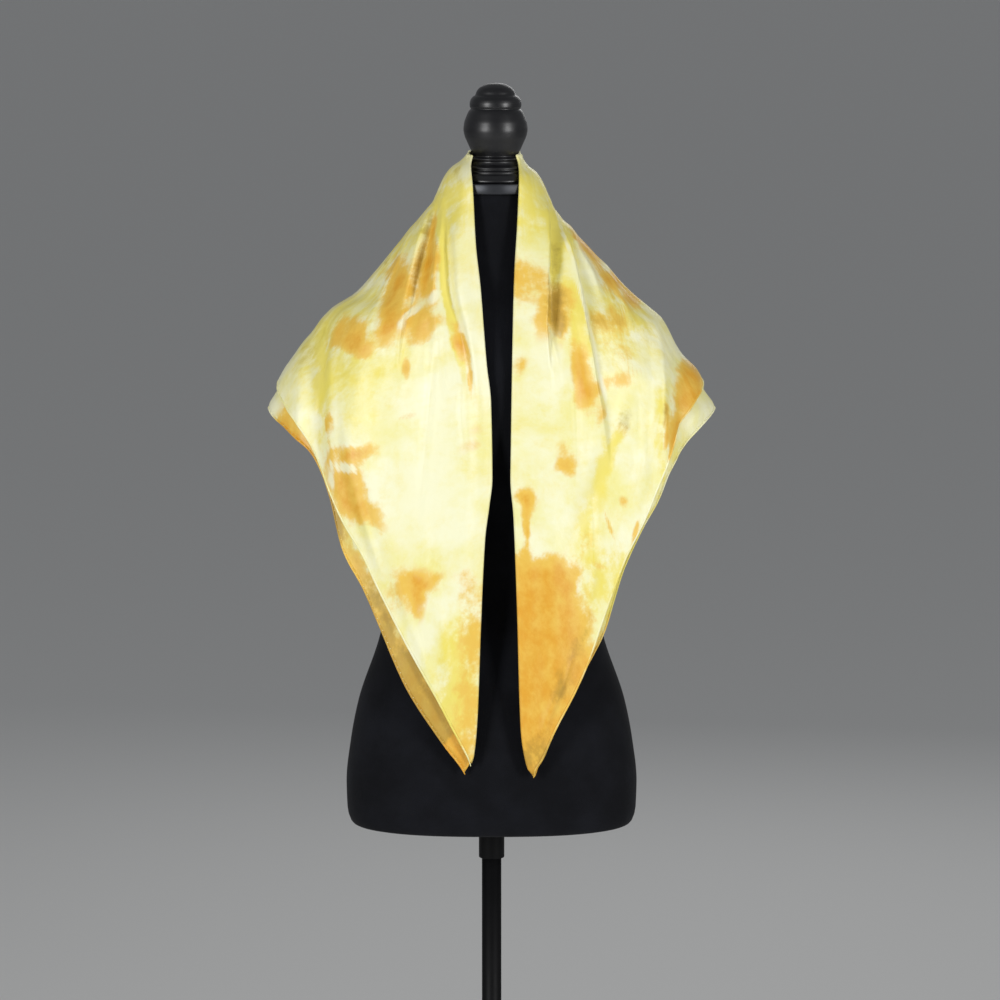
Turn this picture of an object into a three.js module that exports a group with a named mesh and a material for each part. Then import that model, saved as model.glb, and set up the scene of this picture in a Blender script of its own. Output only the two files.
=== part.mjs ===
// A silk square scarf, folded corner to corner and draped over a limbless dress form on a pole stand.
// Millimetres, +Z up, the front towards -Y. Left and right are as seen from the front.

import * as THREE from "three";

const GAP = 0.3; // between pieces that touch

// The folded cloth. Its two plies lie pressed together as one wall, and the under ply shows again
// as a strip past the upper ply's hem.
const SCARF = {
  wall: 2.6,
  rim: 1.1, // the wall's thickness at a fold or hem, where it rounds off
  ply: 1.3,
  tuck: 12, // how far the strip reaches up behind the upper hem
  tuckGap: 1.8, // the strip's distance from the wall at its upper edge
  hemGap: 2.9, // and at the hems
  rolledEdge: 3, // the last row's distance from a hem
  frontColumns: 30,
  backColumns: 18,
  rows: 25,
  crowding: 1.2, // above 1, columns and rows crowd to the fold edge and the throat
};

// The drape's outer face at each height: half-widths to each side, depths to the front and back,
// and the squareness of the section, 2 for an ellipse.
const DRAPE = [
  { z: 1506, left: 26, right: 36, front: 31, back: 32, square: 2 },
  { z: 1498, left: 26, right: 36, front: 31, back: 32, square: 2 },
  { z: 1488, left: 31, right: 40, front: 36, back: 37, square: 2 },
  { z: 1476, left: 46, right: 54, front: 50, back: 50, square: 2 },
  { z: 1464, left: 56, right: 62, front: 59, back: 59, square: 2 },
  { z: 1440, left: 66, right: 69, front: 65, back: 65, square: 2 },
  { z: 1416, left: 87, right: 86, front: 73, back: 73, square: 2 },
  { z: 1391, left: 110, right: 111, front: 81, back: 81, square: 2 },
  { z: 1361, left: 135, right: 138, front: 90, back: 89, square: 2 },
  { z: 1334, left: 160, right: 165, front: 98, back: 95, square: 2 },
  { z: 1319, left: 184, right: 183, front: 102, back: 98, square: 2.05 },
  { z: 1304, left: 202, right: 200, front: 106, back: 101, square: 2.1 },
  { z: 1284, left: 216, right: 212, front: 111, back: 105, square: 2.1 },
  { z: 1262, left: 231, right: 227, front: 115, back: 109, square: 2.1 },
  { z: 1242, left: 245, right: 243, front: 119, back: 112, square: 2.1 },
  { z: 1218, left: 257, right: 255, front: 122, back: 115, square: 2.1 },
  { z: 1196, left: 264, right: 264, front: 125, back: 117, square: 2.1 },
  { z: 1130, left: 264, right: 264, front: 127, back: 119, square: 2.1 },
  { z: 1086, left: 262, right: 262, front: 127, back: 120, square: 2.1 },
  { z: 740, left: 256, right: 256, front: 121, back: 122, square: 2.1 },
];

// The fold at the throat: its height by the turn round from the front fold edge (0) to the back (180).
const THROAT = [
  { turn: 0, z: 1486 },
  { turn: 14, z: 1492 },
  { turn: 40, z: 1496 },
  { turn: 90, z: 1498 },
  { turn: 180, z: 1501 },
];

// How the front fold edges hang: x at each height.
const FOLD_EDGE = {
  left: [
    { z: 1490, x: -24 },
    { z: 1472, x: -22.5 },
    { z: 1443, x: -21 },
    { z: 1396, x: -18 },
    { z: 1349, x: -12.5 },
    { z: 1261, x: -5 },
    { z: 1218, x: 0 },
    { z: 1129, x: 1.5 },
    { z: 1099, x: -2 },
    { z: 1060, x: -7 },
    { z: 956, x: -12 },
    { z: 850, x: -15 },
    { z: 803, x: -18 },
    { z: 790, x: -22 },
    { z: 782, x: -30 },
  ],
  right: [
    { z: 1497, x: 31 },
    { z: 1467, x: 33 },
    { z: 1425, x: 31 },
    { z: 1370, x: 27 },
    { z: 1313, x: 25 },
    { z: 1170, x: 22.5 },
    { z: 1129, x: 22 },
    { z: 1086, x: 25.5 },
    { z: 982, x: 29.5 },
    { z: 837, x: 34 },
    { z: 792, x: 41 },
    { z: 780, x: 49 },
  ],
};

// Hem heights by turn: the upper ply's, and the under ply's that hangs past it.
const HEM = {
  left: [
    { turn: 0, upper: 806, under: 782 },
    { turn: 6, upper: 840, under: 806 },
    { turn: 11, upper: 875, under: 832 },
    { turn: 19, upper: 934, under: 881 },
    { turn: 28, upper: 1002, under: 958 },
    { turn: 33, upper: 1040, under: 999 },
    { turn: 40, upper: 1079, under: 1042 },
    { turn: 45, upper: 1113, under: 1101 },
    { turn: 50, upper: 1147, under: 1137 },
    { turn: 55, upper: 1174, under: 1159 },
    { turn: 61, upper: 1195, under: 1171 },
    { turn: 71, upper: 1214, under: 1186 },
    { turn: 90, upper: 1230, under: 1199 },
    { turn: 108, upper: 1212, under: 1187 },
    { turn: 120, upper: 1184, under: 1163 },
    { turn: 132, upper: 1134, under: 1114 },
    { turn: 146, upper: 1050, under: 1024 },
    { turn: 160, upper: 940, under: 916 },
    { turn: 172, upper: 838, under: 815 },
    { turn: 180, upper: 772, under: 752 },
  ],
  right: [
    { turn: 0, upper: 780, under: 778 },
    { turn: 5, upper: 802, under: 800 },
    { turn: 10, upper: 839, under: 837 },
    { turn: 19, upper: 907, under: 904 },
    { turn: 25, upper: 970, under: 947 },
    { turn: 28, upper: 999, under: 980 },
    { turn: 32, upper: 1034, under: 1022 },
    { turn: 39, upper: 1079, under: 1069 },
    { turn: 45, upper: 1123, under: 1099 },
    { turn: 49, upper: 1153, under: 1128 },
    { turn: 55, upper: 1189, under: 1152 },
    { turn: 64, upper: 1210, under: 1175 },
    { turn: 76, upper: 1223, under: 1191 },
    { turn: 90, upper: 1231, under: 1199 },
    { turn: 106, upper: 1216, under: 1190 },
    { turn: 119, upper: 1180, under: 1162 },
    { turn: 133, upper: 1122, under: 1100 },
    { turn: 147, upper: 1034, under: 1012 },
    { turn: 161, upper: 930, under: 908 },
    { turn: 172, upper: 838, under: 816 },
    { turn: 180, upper: 772, under: 752 },
  ],
};

// Pleats and soft folds. Each runs down the rows of its table: its distance from the middle, and how
// far it stands out (or sinks in, below 0). toMiddle and toSide are how far its two flanks reach.
// A pleat with face "both" crosses the shoulder and runs down the back as well.
const FOLDS = {
  "band at the left edge": {
    side: "left", face: "both", toMiddle: 14, toSide: 16,
    rows: [
      { z: 1468, out: 30, rise: 0 },
      { z: 1410, out: 28, rise: 3 },
      { z: 1300, out: 18, rise: 3.5 },
      { z: 1150, out: 12, rise: 3 },
      { z: 960, out: 26, rise: 2 },
      { z: 850, out: 30, rise: 0 },
    ],
  },
  "left front pleat": {
    side: "left", face: "both", toMiddle: 17, toSide: 10,
    rows: [
      { z: 1452, out: 56, rise: 0 },
      { z: 1436, out: 60, rise: 2.5 },
      { z: 1411, out: 63, rise: 6 },
      { z: 1383, out: 67, rise: 7 },
      { z: 1347, out: 74, rise: 7 },
      { z: 1312, out: 81, rise: 6.5 },
      { z: 1289, out: 84, rise: 5 },
      { z: 1240, out: 84, rise: 2.5 },
      { z: 1170, out: 80, rise: 0 },
    ],
  },
  "left crisp valley": {
    side: "left", face: "both", toMiddle: 7, toSide: 20,
    rows: [
      { z: 1446, out: 66, rise: 0 },
      { z: 1425, out: 72, rise: -2 },
      { z: 1400, out: 76, rise: -4.5 },
      { z: 1347, out: 90, rise: -5.5 },
      { z: 1312, out: 97, rise: -5 },
      { z: 1289, out: 101, rise: -4 },
      { z: 1245, out: 101, rise: -1.5 },
      { z: 1200, out: 100, rise: 0 },
    ],
  },
  "left valley beside the band": {
    side: "left", face: "front", toMiddle: 14, toSide: 14,
    rows: [
      { z: 1446, out: 52, rise: 0 },
      { z: 1407, out: 53, rise: -3 },
      { z: 1351, out: 46, rise: -4.5 },
      { z: 1301, out: 37, rise: -4 },
      { z: 1250, out: 31, rise: -2.5 },
      { z: 1180, out: 28, rise: 0 },
    ],
  },
  "left wing fold": {
    side: "left", face: "both", toMiddle: 18, toSide: 14,
    rows: [
      { z: 1306, out: 192, rise: 0 },
      { z: 1285, out: 196, rise: -3 },
      { z: 1225, out: 199, rise: -5 },
      { z: 1177, out: 200, rise: -4.5 },
      { z: 1120, out: 196, rise: -3 },
    ],
  },
  "left chest swell": {
    side: "left", face: "front", toMiddle: 48, toSide: 42,
    rows: [
      { z: 1330, out: 140, rise: 0 },
      { z: 1240, out: 146, rise: 4 },
      { z: 1120, out: 132, rise: 5 },
      { z: 1000, out: 96, rise: 3 },
      { z: 900, out: 70, rise: 0 },
    ],
  },
  "right front pleat": {
    side: "right", face: "both", toMiddle: 24, toSide: 7,
    rows: [
      { z: 1452, out: 58, rise: 0 },
      { z: 1434, out: 62, rise: 3 },
      { z: 1410, out: 62, rise: 6 },
      { z: 1383, out: 61, rise: 8.5 },
      { z: 1337, out: 59, rise: 9.5 },
      { z: 1301, out: 58, rise: 8 },
      { z: 1266, out: 64, rise: 5 },
      { z: 1229, out: 71, rise: 3 },
      { z: 1160, out: 76, rise: 0 },
    ],
  },
  "right dark valley": {
    side: "right", face: "both", toMiddle: 9, toSide: 15,
    rows: [
      { z: 1425, out: 74, rise: 0 },
      { z: 1395, out: 76, rise: -4 },
      { z: 1337, out: 77, rise: -7 },
      { z: 1301, out: 78, rise: -6 },
      { z: 1262, out: 86, rise: -3 },
      { z: 1215, out: 96, rise: 0 },
    ],
  },
  "right second pleat": {
    side: "right", face: "both", toMiddle: 15, toSide: 12,
    rows: [
      { z: 1424, out: 82, rise: 0 },
      { z: 1412, out: 84, rise: 2.5 },
      { z: 1375, out: 92, rise: 5 },
      { z: 1336, out: 100, rise: 5.5 },
      { z: 1300, out: 106, rise: 5 },
      { z: 1250, out: 119, rise: 4.5 },
      { z: 1216, out: 126, rise: 3.5 },
      { z: 1180, out: 140, rise: 0 },
    ],
  },
  "right third pleat": {
    side: "right", face: "both", toMiddle: 10, toSide: 12,
    rows: [
      { z: 1412, out: 90, rise: 0 },
      { z: 1393, out: 98, rise: 3.5 },
      { z: 1372, out: 107, rise: 4.5 },
      { z: 1350, out: 117, rise: 3 },
      { z: 1322, out: 130, rise: 0 },
    ],
  },
  "right wing ridge": {
    side: "right", face: "both", toMiddle: 16, toSide: 14,
    rows: [
      { z: 1308, out: 190, rise: 0 },
      { z: 1285, out: 194, rise: 2.5 },
      { z: 1238, out: 198, rise: 4 },
      { z: 1190, out: 199, rise: 3.5 },
      { z: 1140, out: 202, rise: 2 },
    ],
  },
  "right wing valley": {
    side: "right", face: "both", toMiddle: 15, toSide: 24,
    rows: [
      { z: 1290, out: 214, rise: 0 },
      { z: 1240, out: 222, rise: -3.5 },
      { z: 1190, out: 226, rise: -3 },
      { z: 1150, out: 228, rise: -2 },
    ],
  },
  "right broad valley": {
    side: "right", face: "front", toMiddle: 34, toSide: 30,
    rows: [
      { z: 1262, out: 158, rise: 0 },
      { z: 1204, out: 148, rise: -5 },
      { z: 1129, out: 134, rise: -7 },
      { z: 1085, out: 116, rise: -5 },
      { z: 1020, out: 98, rise: 0 },
    ],
  },
  "right lower swell": {
    side: "right", face: "front", toMiddle: 30, toSide: 40,
    rows: [
      { z: 1120, out: 62, rise: 0 },
      { z: 1020, out: 66, rise: 4 },
      { z: 900, out: 70, rise: 3.5 },
      { z: 820, out: 60, rise: 0 },
    ],
  },
  "left back hem wave": {
    side: "left", face: "back", toMiddle: 40, toSide: 34,
    rows: [
      { z: 1220, out: 118, rise: 0 },
      { z: 1080, out: 112, rise: 8 },
      { z: 960, out: 104, rise: 11 },
      { z: 860, out: 96, rise: 12 },
    ],
  },
  "left back hem dip": {
    side: "left", face: "back", toMiddle: 30, toSide: 34,
    rows: [
      { z: 1230, out: 178, rise: 0 },
      { z: 1120, out: 172, rise: -8 },
      { z: 1000, out: 164, rise: -10 },
    ],
  },
  "right back hem wave": {
    side: "right", face: "back", toMiddle: 36, toSide: 40,
    rows: [
      { z: 1200, out: 84, rise: 0 },
      { z: 1060, out: 82, rise: 7 },
      { z: 940, out: 80, rise: 11 },
      { z: 840, out: 78, rise: 11 },
    ],
  },
  "right back hem dip": {
    side: "right", face: "back", toMiddle: 32, toSide: 36,
    rows: [
      { z: 1230, out: 150, rise: 0 },
      { z: 1120, out: 148, rise: -7 },
      { z: 980, out: 144, rise: -10 },
    ],
  },
};

// The covered torso: half-width, depths to the front and back, and squareness, from the foot up.
const TORSO = [
  { z: 704, half: 158, front: 96, back: 100, square: 2.5 },
  { z: 706, half: 165, front: 102, back: 106, square: 2.5 },
  { z: 713, half: 169.5, front: 106, back: 110, square: 2.5 },
  { z: 724, half: 171.5, front: 108, back: 112, square: 2.45 },
  { z: 755, half: 172.5, front: 109, back: 113, square: 2.4 },
  { z: 801, half: 167.5, front: 106, back: 112, square: 2.35 },
  { z: 850, half: 158, front: 99, back: 108, square: 2.3 },
  { z: 925, half: 133, front: 88, back: 92, square: 2.25 },
  { z: 1000, half: 117, front: 80, back: 76, square: 2.2 },
  { z: 1060, half: 121, front: 86, back: 76, square: 2.2 },
  { z: 1130, half: 137, front: 102, back: 86, square: 2.15 },
  { z: 1190, half: 149, front: 112, back: 95, square: 2.1 },
  { z: 1240, half: 160, front: 108, back: 98, square: 2.1 },
  { z: 1275, half: 178, front: 97, back: 92, square: 2.1 },
  { z: 1292, half: 186, front: 91, back: 87, square: 2.1 },
  { z: 1304, half: 183, front: 86, back: 83, square: 2.1 },
  { z: 1319, half: 166, front: 80, back: 78, square: 2.05 },
  { z: 1334, half: 144, front: 75, back: 73, square: 2 },
  { z: 1361, half: 116, front: 68, back: 67, square: 2 },
  { z: 1391, half: 91, front: 61, back: 61, square: 2 },
  { z: 1416, half: 69, front: 55, back: 55, square: 2 },
  { z: 1436, half: 54, front: 50, back: 50, square: 2 },
  { z: 1451.7, half: 50, front: 48, back: 48, square: 2 },
];
const TORSO_SEGMENTS = 40;

// The neck cap and the turned finial stand a little to the right of the torso's middle.
const NECK = { capX: 3, finialX: 4.8, capFoot: 1452, capTop: 1464, capRadius: 54.2, capEdge: 1.2 };

// The finial's turned profile: height and radius.
const FINIAL = [
  { z: 1464.3, r: 46 },
  { z: 1466, r: 46 },
  { z: 1468, r: 40 },
  { z: 1472, r: 35.5 },
  { z: 1473.5, r: 34 },
  { z: 1474.5, r: 35 },
  { z: 1476.5, r: 33 },
  { z: 1478, r: 27 },
  { z: 1480, r: 29 },
  { z: 1484, r: 30.5 },
  { z: 1488, r: 28.5 },
  { z: 1490.5, r: 24.6 },
  { z: 1494.7, r: 24.4 },
  { z: 1501, r: 28 },
  { z: 1510, r: 33.2 },
  { z: 1519, r: 36.2 },
  { z: 1527, r: 36.8 },
  { z: 1536, r: 35 },
  { z: 1544, r: 31.2 },
  { z: 1549, r: 28.4 },
  { z: 1551.5, r: 28.2 },
  { z: 1553, r: 29.8 },
  { z: 1561, r: 29.6 },
  { z: 1563.5, r: 26.5 },
  { z: 1564.5, r: 21.8 },
  { z: 1568, r: 22.4 },
  { z: 1573, r: 20.8 },
  { z: 1577, r: 17 },
  { z: 1579, r: 12 },
];

// The stand below: a collar under the torso, the pole, its boss and the base plate.
const STAND = {
  collarFoot: 659.5,
  collarRadius: 15.2,
  poleRadius: 11.6,
  bossTop: 42,
  bossRadius: 24,
  plateTop: 9,
  plateRadius: 165,
  plateEdge: 3,
};

// Finishes, as a MeshStandardMaterial each.
const FINISH = {
  silk: { color: 0xf0e489, roughness: 0.38, metalness: 0 },
  velvet: { color: 0x0b0c10, roughness: 0.95, metalness: 0 },
  paintedWood: { color: 0x0a0a0c, roughness: 0.3, metalness: 0 },
  paintedSteel: { color: 0x111214, roughness: 0.35, metalness: 0.6 },
};

// A smooth curve through a table's rows that never overshoots them.
function curveThrough(rows, along, value) {
  const points = rows.map((row) => [row[along], row[value]]).sort((a, b) => a[0] - b[0]);
  const slopes = points.slice(1).map(([x, y], i) => (y - points[i][1]) / (x - points[i][0]));
  const tangents = points.map((_, i) => {
    if (i === 0) return slopes[0];
    if (i === points.length - 1) return slopes[i - 1];
    const [before, after] = [slopes[i - 1], slopes[i]];
    return before * after <= 0 ? 0 : (2 * before * after) / (before + after);
  });
  return (x) => {
    const first = points[0];
    const last = points[points.length - 1];
    if (x <= first[0]) return first[1];
    if (x >= last[0]) return last[1];
    const i = points.findIndex(([end]) => end > x) - 1;
    const [x0, y0] = points[i];
    const [x1, y1] = points[i + 1];
    const span = x1 - x0;
    const t = (x - x0) / span;
    const s = 1 - t;
    return (
      y0 * (1 + 2 * t) * s * s +
      y1 * t * t * (3 - 2 * t) +
      span * (tangents[i] * t * s * s - tangents[i + 1] * t * t * s)
    );
  };
}

// Every column of a table as a curve along its first.
function curvesOf(rows, along) {
  const names = Object.keys(rows[0]).filter((name) => name !== along);
  return Object.fromEntries(names.map((name) => [name, curveThrough(rows, along, name)]));
}

const SIGN = { left: -1, right: 1 };
const drape = curvesOf(DRAPE, "z");
const throat = curveThrough(THROAT, "turn", "z");
const foldEdge = {
  left: curveThrough(FOLD_EDGE.left, "z", "x"),
  right: curveThrough(FOLD_EDGE.right, "z", "x"),
};
const hem = { left: curvesOf(HEM.left, "turn"), right: curvesOf(HEM.right, "turn") };
const folds = Object.values(FOLDS).map((fold) => ({
  ...fold,
  top: fold.rows[0].z,
  foot: fold.rows[fold.rows.length - 1].z,
  ...curvesOf(fold.rows, "z"),
}));

const powered = (value, power) => Math.sign(value) * Math.abs(value) ** power;

// The drape's section at a height: its middle, half-width and power.
function sectionAt(z) {
  const [left, right] = [drape.left(z), drape.right(z)];
  return { middle: (right - left) / 2, half: (left + right) / 2, power: 2 / drape.square(z) };
}

// A point of the drape before its pleats. turn runs from the side's front fold edge (0) by the
// shoulder (90) to the middle of the back (180).
function smoothPoint(side, turn, z) {
  const { middle, half, power } = sectionAt(z);
  const reach = ((foldEdge[side](z) - middle) * SIGN[side]) / half;
  const edge = Math.asin(powered(reach, 1 / power));
  const angle = turn < 90 ? edge + (Math.PI / 2 - edge) * (turn / 90) : (turn * Math.PI) / 180;
  const depth = turn < 90 ? drape.front(z) : drape.back(z);
  return new THREE.Vector3(
    middle + SIGN[side] * half * powered(Math.sin(angle), power),
    -depth * powered(Math.cos(angle), power),
    z,
  );
}

// The direction straight out of the drape there.
function outward(side, turn, z) {
  const across = smoothPoint(side, turn + 0.6, z).sub(smoothPoint(side, turn - 0.6, z));
  const down = smoothPoint(side, turn, z - 1).sub(smoothPoint(side, turn, z + 1));
  return across.cross(down).multiplyScalar(-SIGN[side]).normalize();
}

// How far a flank still stands at a distance from its crest.
function flank(distance, reach) {
  return distance >= reach ? 0 : (1 + Math.cos((Math.PI * distance) / reach)) / 2;
}

// How far the pleats and folds lift the cloth at a point.
function liftAt(side, point) {
  const face = point.y < 0 ? "front" : "back";
  const out = point.x * SIGN[side];
  let lift = 0;
  for (const fold of folds) {
    if (fold.side !== side || (fold.face !== "both" && fold.face !== face)) continue;
    if (point.z > fold.top || (point.z < fold.foot && fold.rise(fold.foot) === 0)) continue;
    const past = out - fold.out(point.z);
    lift += fold.rise(point.z) * flank(Math.abs(past), past < 0 ? fold.toMiddle : fold.toSide);
  }
  return lift;
}

// A point of the pleated outer face, moved in by depth.
function clothPoint({ side, turn, shift }, z, depth) {
  const point = smoothPoint(side, turn, z);
  point.addScaledVector(outward(side, turn, z), liftAt(side, point) - depth);
  point.y += shift;
  return point;
}

// The columns of a front stretch, closer together near its fold edge. The last stops short of the
// seam on the shoulder.
function frontColumns(side) {
  const count = SCARF.frontColumns;
  return Array.from({ length: count + 1 }, (_, i) => ({
    side,
    turn: 90 * (i / count) ** SCARF.crowding,
    shift: i === count ? -GAP / 2 : 0,
  }));
}

// The columns of one half of the back, from the shoulder's seam to the middle.
function backColumns(side) {
  const count = SCARF.backColumns;
  return Array.from({ length: count + 1 }, (_, i) => ({
    side,
    turn: 90 + (90 * i) / count,
    shift: i === 0 ? GAP / 2 : 0,
  }));
}

// Heights from the throat to the hem, with one more row beside each.
function wallHeights(top, foot) {
  const { rows, crowding, rolledEdge } = SCARF;
  const heights = Array.from(
    { length: rows - 1 },
    (_, i) => top - rolledEdge - (top - foot - 2 * rolledEdge) * (i / (rows - 2)) ** crowding,
  );
  return [top, ...heights, foot];
}

// Closes two matching grids of points, the outer and the inner face of a wall, into one solid.
function solidBetween(outer, inner) {
  const [columns, rows] = [outer.length, outer[0].length];
  const positions = [...outer.flat(), ...inner.flat()].flatMap((p) => [p.x, p.y, p.z]);
  const at = (face, i, j) => (face * columns + i) * rows + j;
  const index = [];
  const quad = (a, b, c, d) => index.push(a, b, c, a, c, d);
  for (let i = 0; i < columns - 1; i++) {
    for (let j = 0; j < rows - 1; j++) {
      quad(at(0, i, j), at(0, i, j + 1), at(0, i + 1, j + 1), at(0, i + 1, j));
      quad(at(1, i, j), at(1, i + 1, j), at(1, i + 1, j + 1), at(1, i, j + 1));
    }
    quad(at(0, i, 0), at(0, i + 1, 0), at(1, i + 1, 0), at(1, i, 0));
    quad(at(0, i, rows - 1), at(1, i, rows - 1), at(1, i + 1, rows - 1), at(0, i + 1, rows - 1));
  }
  for (let j = 0; j < rows - 1; j++) {
    quad(at(0, 0, j), at(1, 0, j), at(1, 0, j + 1), at(0, 0, j + 1));
    const last = columns - 1;
    quad(at(0, last, j), at(0, last, j + 1), at(1, last, j + 1), at(1, last, j));
  }
  const geometry = new THREE.BufferGeometry();
  geometry.setAttribute("position", new THREE.Float32BufferAttribute(positions, 3));
  geometry.setIndex(index);
  geometry.computeVertexNormals();
  return geometry;
}

// The upper wall over some columns. It rounds off at the throat, the hem and a front fold edge.
function wallOver(columns) {
  const faces = [0, 1].map((face) =>
    columns.map((column) => {
      const heights = wallHeights(throat(column.turn), hem[column.side].upper(column.turn));
      return heights.map((z, j) => {
        const rounded = column.turn === 0 || j === 0 || j === heights.length - 1;
        const taper = rounded ? (SCARF.wall - SCARF.rim) / 2 : 0;
        return clothPoint(column, z, face === 0 ? taper : SCARF.wall - taper);
      });
    }),
  );
  return solidBetween(...faces);
}

// The under ply's strip over some columns, from behind the upper hem to its own hem.
function stripOver(columns) {
  const { wall, ply, tuck, tuckGap, hemGap, rolledEdge } = SCARF;
  const faces = [0, 1].map((face) =>
    columns.map((column) => {
      const upper = hem[column.side].upper(column.turn);
      const under = hem[column.side].under(column.turn);
      const depth = wall + face * ply;
      return [
        clothPoint(column, upper + tuck, depth + tuckGap),
        clothPoint(column, upper + rolledEdge, depth + hemGap),
        clothPoint(column, (upper + under) / 2, depth + hemGap),
        clothPoint(column, under, depth + hemGap),
      ];
    }),
  );
  return solidBetween(...faces);
}

// A closed loft of superellipse sections, from the foot up.
function loftOf(rows, segments) {
  const ring = ({ z, half, front, back, square }) =>
    Array.from({ length: segments }, (_, i) => {
      const angle = (2 * Math.PI * i) / segments;
      const [across, along] = [Math.cos(angle), Math.sin(angle)];
      const depth = along < 0 ? front : back;
      return [half * powered(across, 2 / square), depth * powered(along, 2 / square), z];
    });
  const positions = rows.flatMap(ring);
  const foot = positions.push([0, 0, rows[0].z]) - 1;
  const top = positions.push([0, 0, rows[rows.length - 1].z]) - 1;
  const at = (row, i) => row * segments + (i % segments);
  const index = [];
  for (let i = 0; i < segments; i++) {
    for (let row = 0; row < rows.length - 1; row++) {
      const [a, b, c, d] = [at(row, i), at(row, i + 1), at(row + 1, i + 1), at(row + 1, i)];
      index.push(a, b, c, a, c, d);
    }
    index.push(foot, at(0, i + 1), at(0, i));
    index.push(top, at(rows.length - 1, i), at(rows.length - 1, i + 1));
  }
  const geometry = new THREE.BufferGeometry();
  geometry.setAttribute("position", new THREE.Float32BufferAttribute(positions.flat(), 3));
  geometry.setIndex(index);
  geometry.computeVertexNormals();
  return geometry;
}

// A turned piece from a profile of [radius, height] pairs. Where the profile ends off the axis it is
// a ring, and its profile closes on itself.
function turned(profile, segments) {
  const points = profile.map(([r, z]) => new THREE.Vector2(r, z));
  return new THREE.LatheGeometry(points, segments).rotateX(Math.PI / 2);
}

// A solid profile with its two ends brought to the axis.
function ontoAxis(profile) {
  return [[0, profile[0][1]], ...profile, [0, profile[profile.length - 1][1]]];
}

const scarf = new THREE.Group();
scarf.name = "scarf";
const dressForm = new THREE.Group();
dressForm.name = "dress_form";

function addPiece(group, name, geometry, finish, x = 0) {
  const mesh = new THREE.Mesh(geometry, new THREE.MeshStandardMaterial(finish));
  mesh.name = name;
  mesh.position.x = x;
  group.add(mesh);
}

// Seen from outside, the columns of each stretch run to the right, so that its faces point out.
const stretches = {
  left: frontColumns("left").reverse(),
  right: frontColumns("right"),
  back: [...backColumns("right"), ...backColumns("left").reverse().slice(1)],
};
addPiece(scarf, "scarf_left_front", wallOver(stretches.left), FINISH.silk);
addPiece(scarf, "scarf_right_front", wallOver(stretches.right), FINISH.silk);
addPiece(scarf, "scarf_back", wallOver(stretches.back), FINISH.silk);
for (const [place, columns] of Object.entries(stretches)) {
  addPiece(scarf, `under_ply_${place}`, stripOver(columns), FINISH.silk);
}

addPiece(dressForm, "torso", loftOf(TORSO, TORSO_SEGMENTS), FINISH.velvet);

const { capFoot, capTop, capRadius, capEdge } = NECK;
const capProfile = [
  [capRadius - capEdge, capFoot],
  [capRadius, capFoot + capEdge],
  [capRadius, capTop - capEdge],
  [capRadius - capEdge, capTop],
];
addPiece(dressForm, "neck_cap", turned(ontoAxis(capProfile), 40), FINISH.paintedSteel, NECK.capX);

const finialProfile = FINIAL.map(({ z, r }) => [r, z]);
addPiece(dressForm, "finial", turned(ontoAxis(finialProfile), 28), FINISH.paintedWood, NECK.finialX);

const { collarFoot, collarRadius, poleRadius, bossTop, bossRadius } = STAND;
const { plateTop, plateRadius, plateEdge } = STAND;
const torsoFoot = TORSO[0].z;
const bore = poleRadius + GAP;

// A ring round the pole, with a small bevel on its outer edges.
function ringProfile(radius, foot, top, bevel) {
  return [
    [bore, foot],
    [radius - bevel, foot],
    [radius, foot + bevel],
    [radius, top - bevel],
    [radius - bevel, top],
    [bore, top],
    [bore, foot],
  ];
}

const collar = turned(ringProfile(collarRadius, collarFoot, torsoFoot - GAP, 1), 28);
addPiece(dressForm, "collar", collar, FINISH.paintedSteel);
const pole = turned(ontoAxis([[poleRadius, plateTop + GAP], [poleRadius, torsoFoot - GAP]]), 28);
addPiece(dressForm, "pole", pole, FINISH.paintedSteel);
const boss = turned(ringProfile(bossRadius, plateTop + GAP, bossTop, 3), 28);
addPiece(dressForm, "pole_boss", boss, FINISH.paintedSteel);
const plateProfile = [
  [plateRadius, 0],
  [plateRadius, plateTop - plateEdge],
  [plateRadius - plateEdge, plateTop],
];
addPiece(dressForm, "base_plate", turned(ontoAxis(plateProfile), 48), FINISH.paintedSteel);

const part = new THREE.Group();
part.add(scarf, dressForm);

export default part;
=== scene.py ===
"""The looks of a silk square scarf draped over a limbless dress form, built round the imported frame.

Shapes are worked out in millimetres, +Z up and the front towards -Y, as in the part's source. Left and
right are as seen from the front.
"""

import logging
import math
from bisect import bisect_right
from collections.abc import Callable, Iterable, Sequence
from dataclasses import dataclass, field
from enum import Enum
from typing import NamedTuple

import bmesh
import bpy
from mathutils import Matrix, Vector, noise

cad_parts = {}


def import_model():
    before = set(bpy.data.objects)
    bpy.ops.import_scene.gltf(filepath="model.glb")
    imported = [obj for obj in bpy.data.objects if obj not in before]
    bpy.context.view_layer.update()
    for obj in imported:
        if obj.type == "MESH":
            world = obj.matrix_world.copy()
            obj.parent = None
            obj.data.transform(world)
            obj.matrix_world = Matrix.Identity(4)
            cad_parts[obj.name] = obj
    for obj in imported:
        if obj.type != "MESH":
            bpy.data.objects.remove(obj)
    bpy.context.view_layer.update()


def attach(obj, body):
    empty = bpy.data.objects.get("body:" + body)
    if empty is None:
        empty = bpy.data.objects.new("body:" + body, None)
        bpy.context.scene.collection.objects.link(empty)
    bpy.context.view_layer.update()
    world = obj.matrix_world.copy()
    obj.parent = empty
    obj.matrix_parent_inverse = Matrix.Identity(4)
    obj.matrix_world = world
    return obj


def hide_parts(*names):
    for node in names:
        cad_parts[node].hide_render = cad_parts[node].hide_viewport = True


log = logging.getLogger("scarf")

MM = 0.001
BODY = "root"
DYE_SEED = 19  # Fixes how the dye creeps, so that every run gives the same patches.
WELD = 0.001  # Points nearer than this, in millimetres, are joined.

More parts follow.
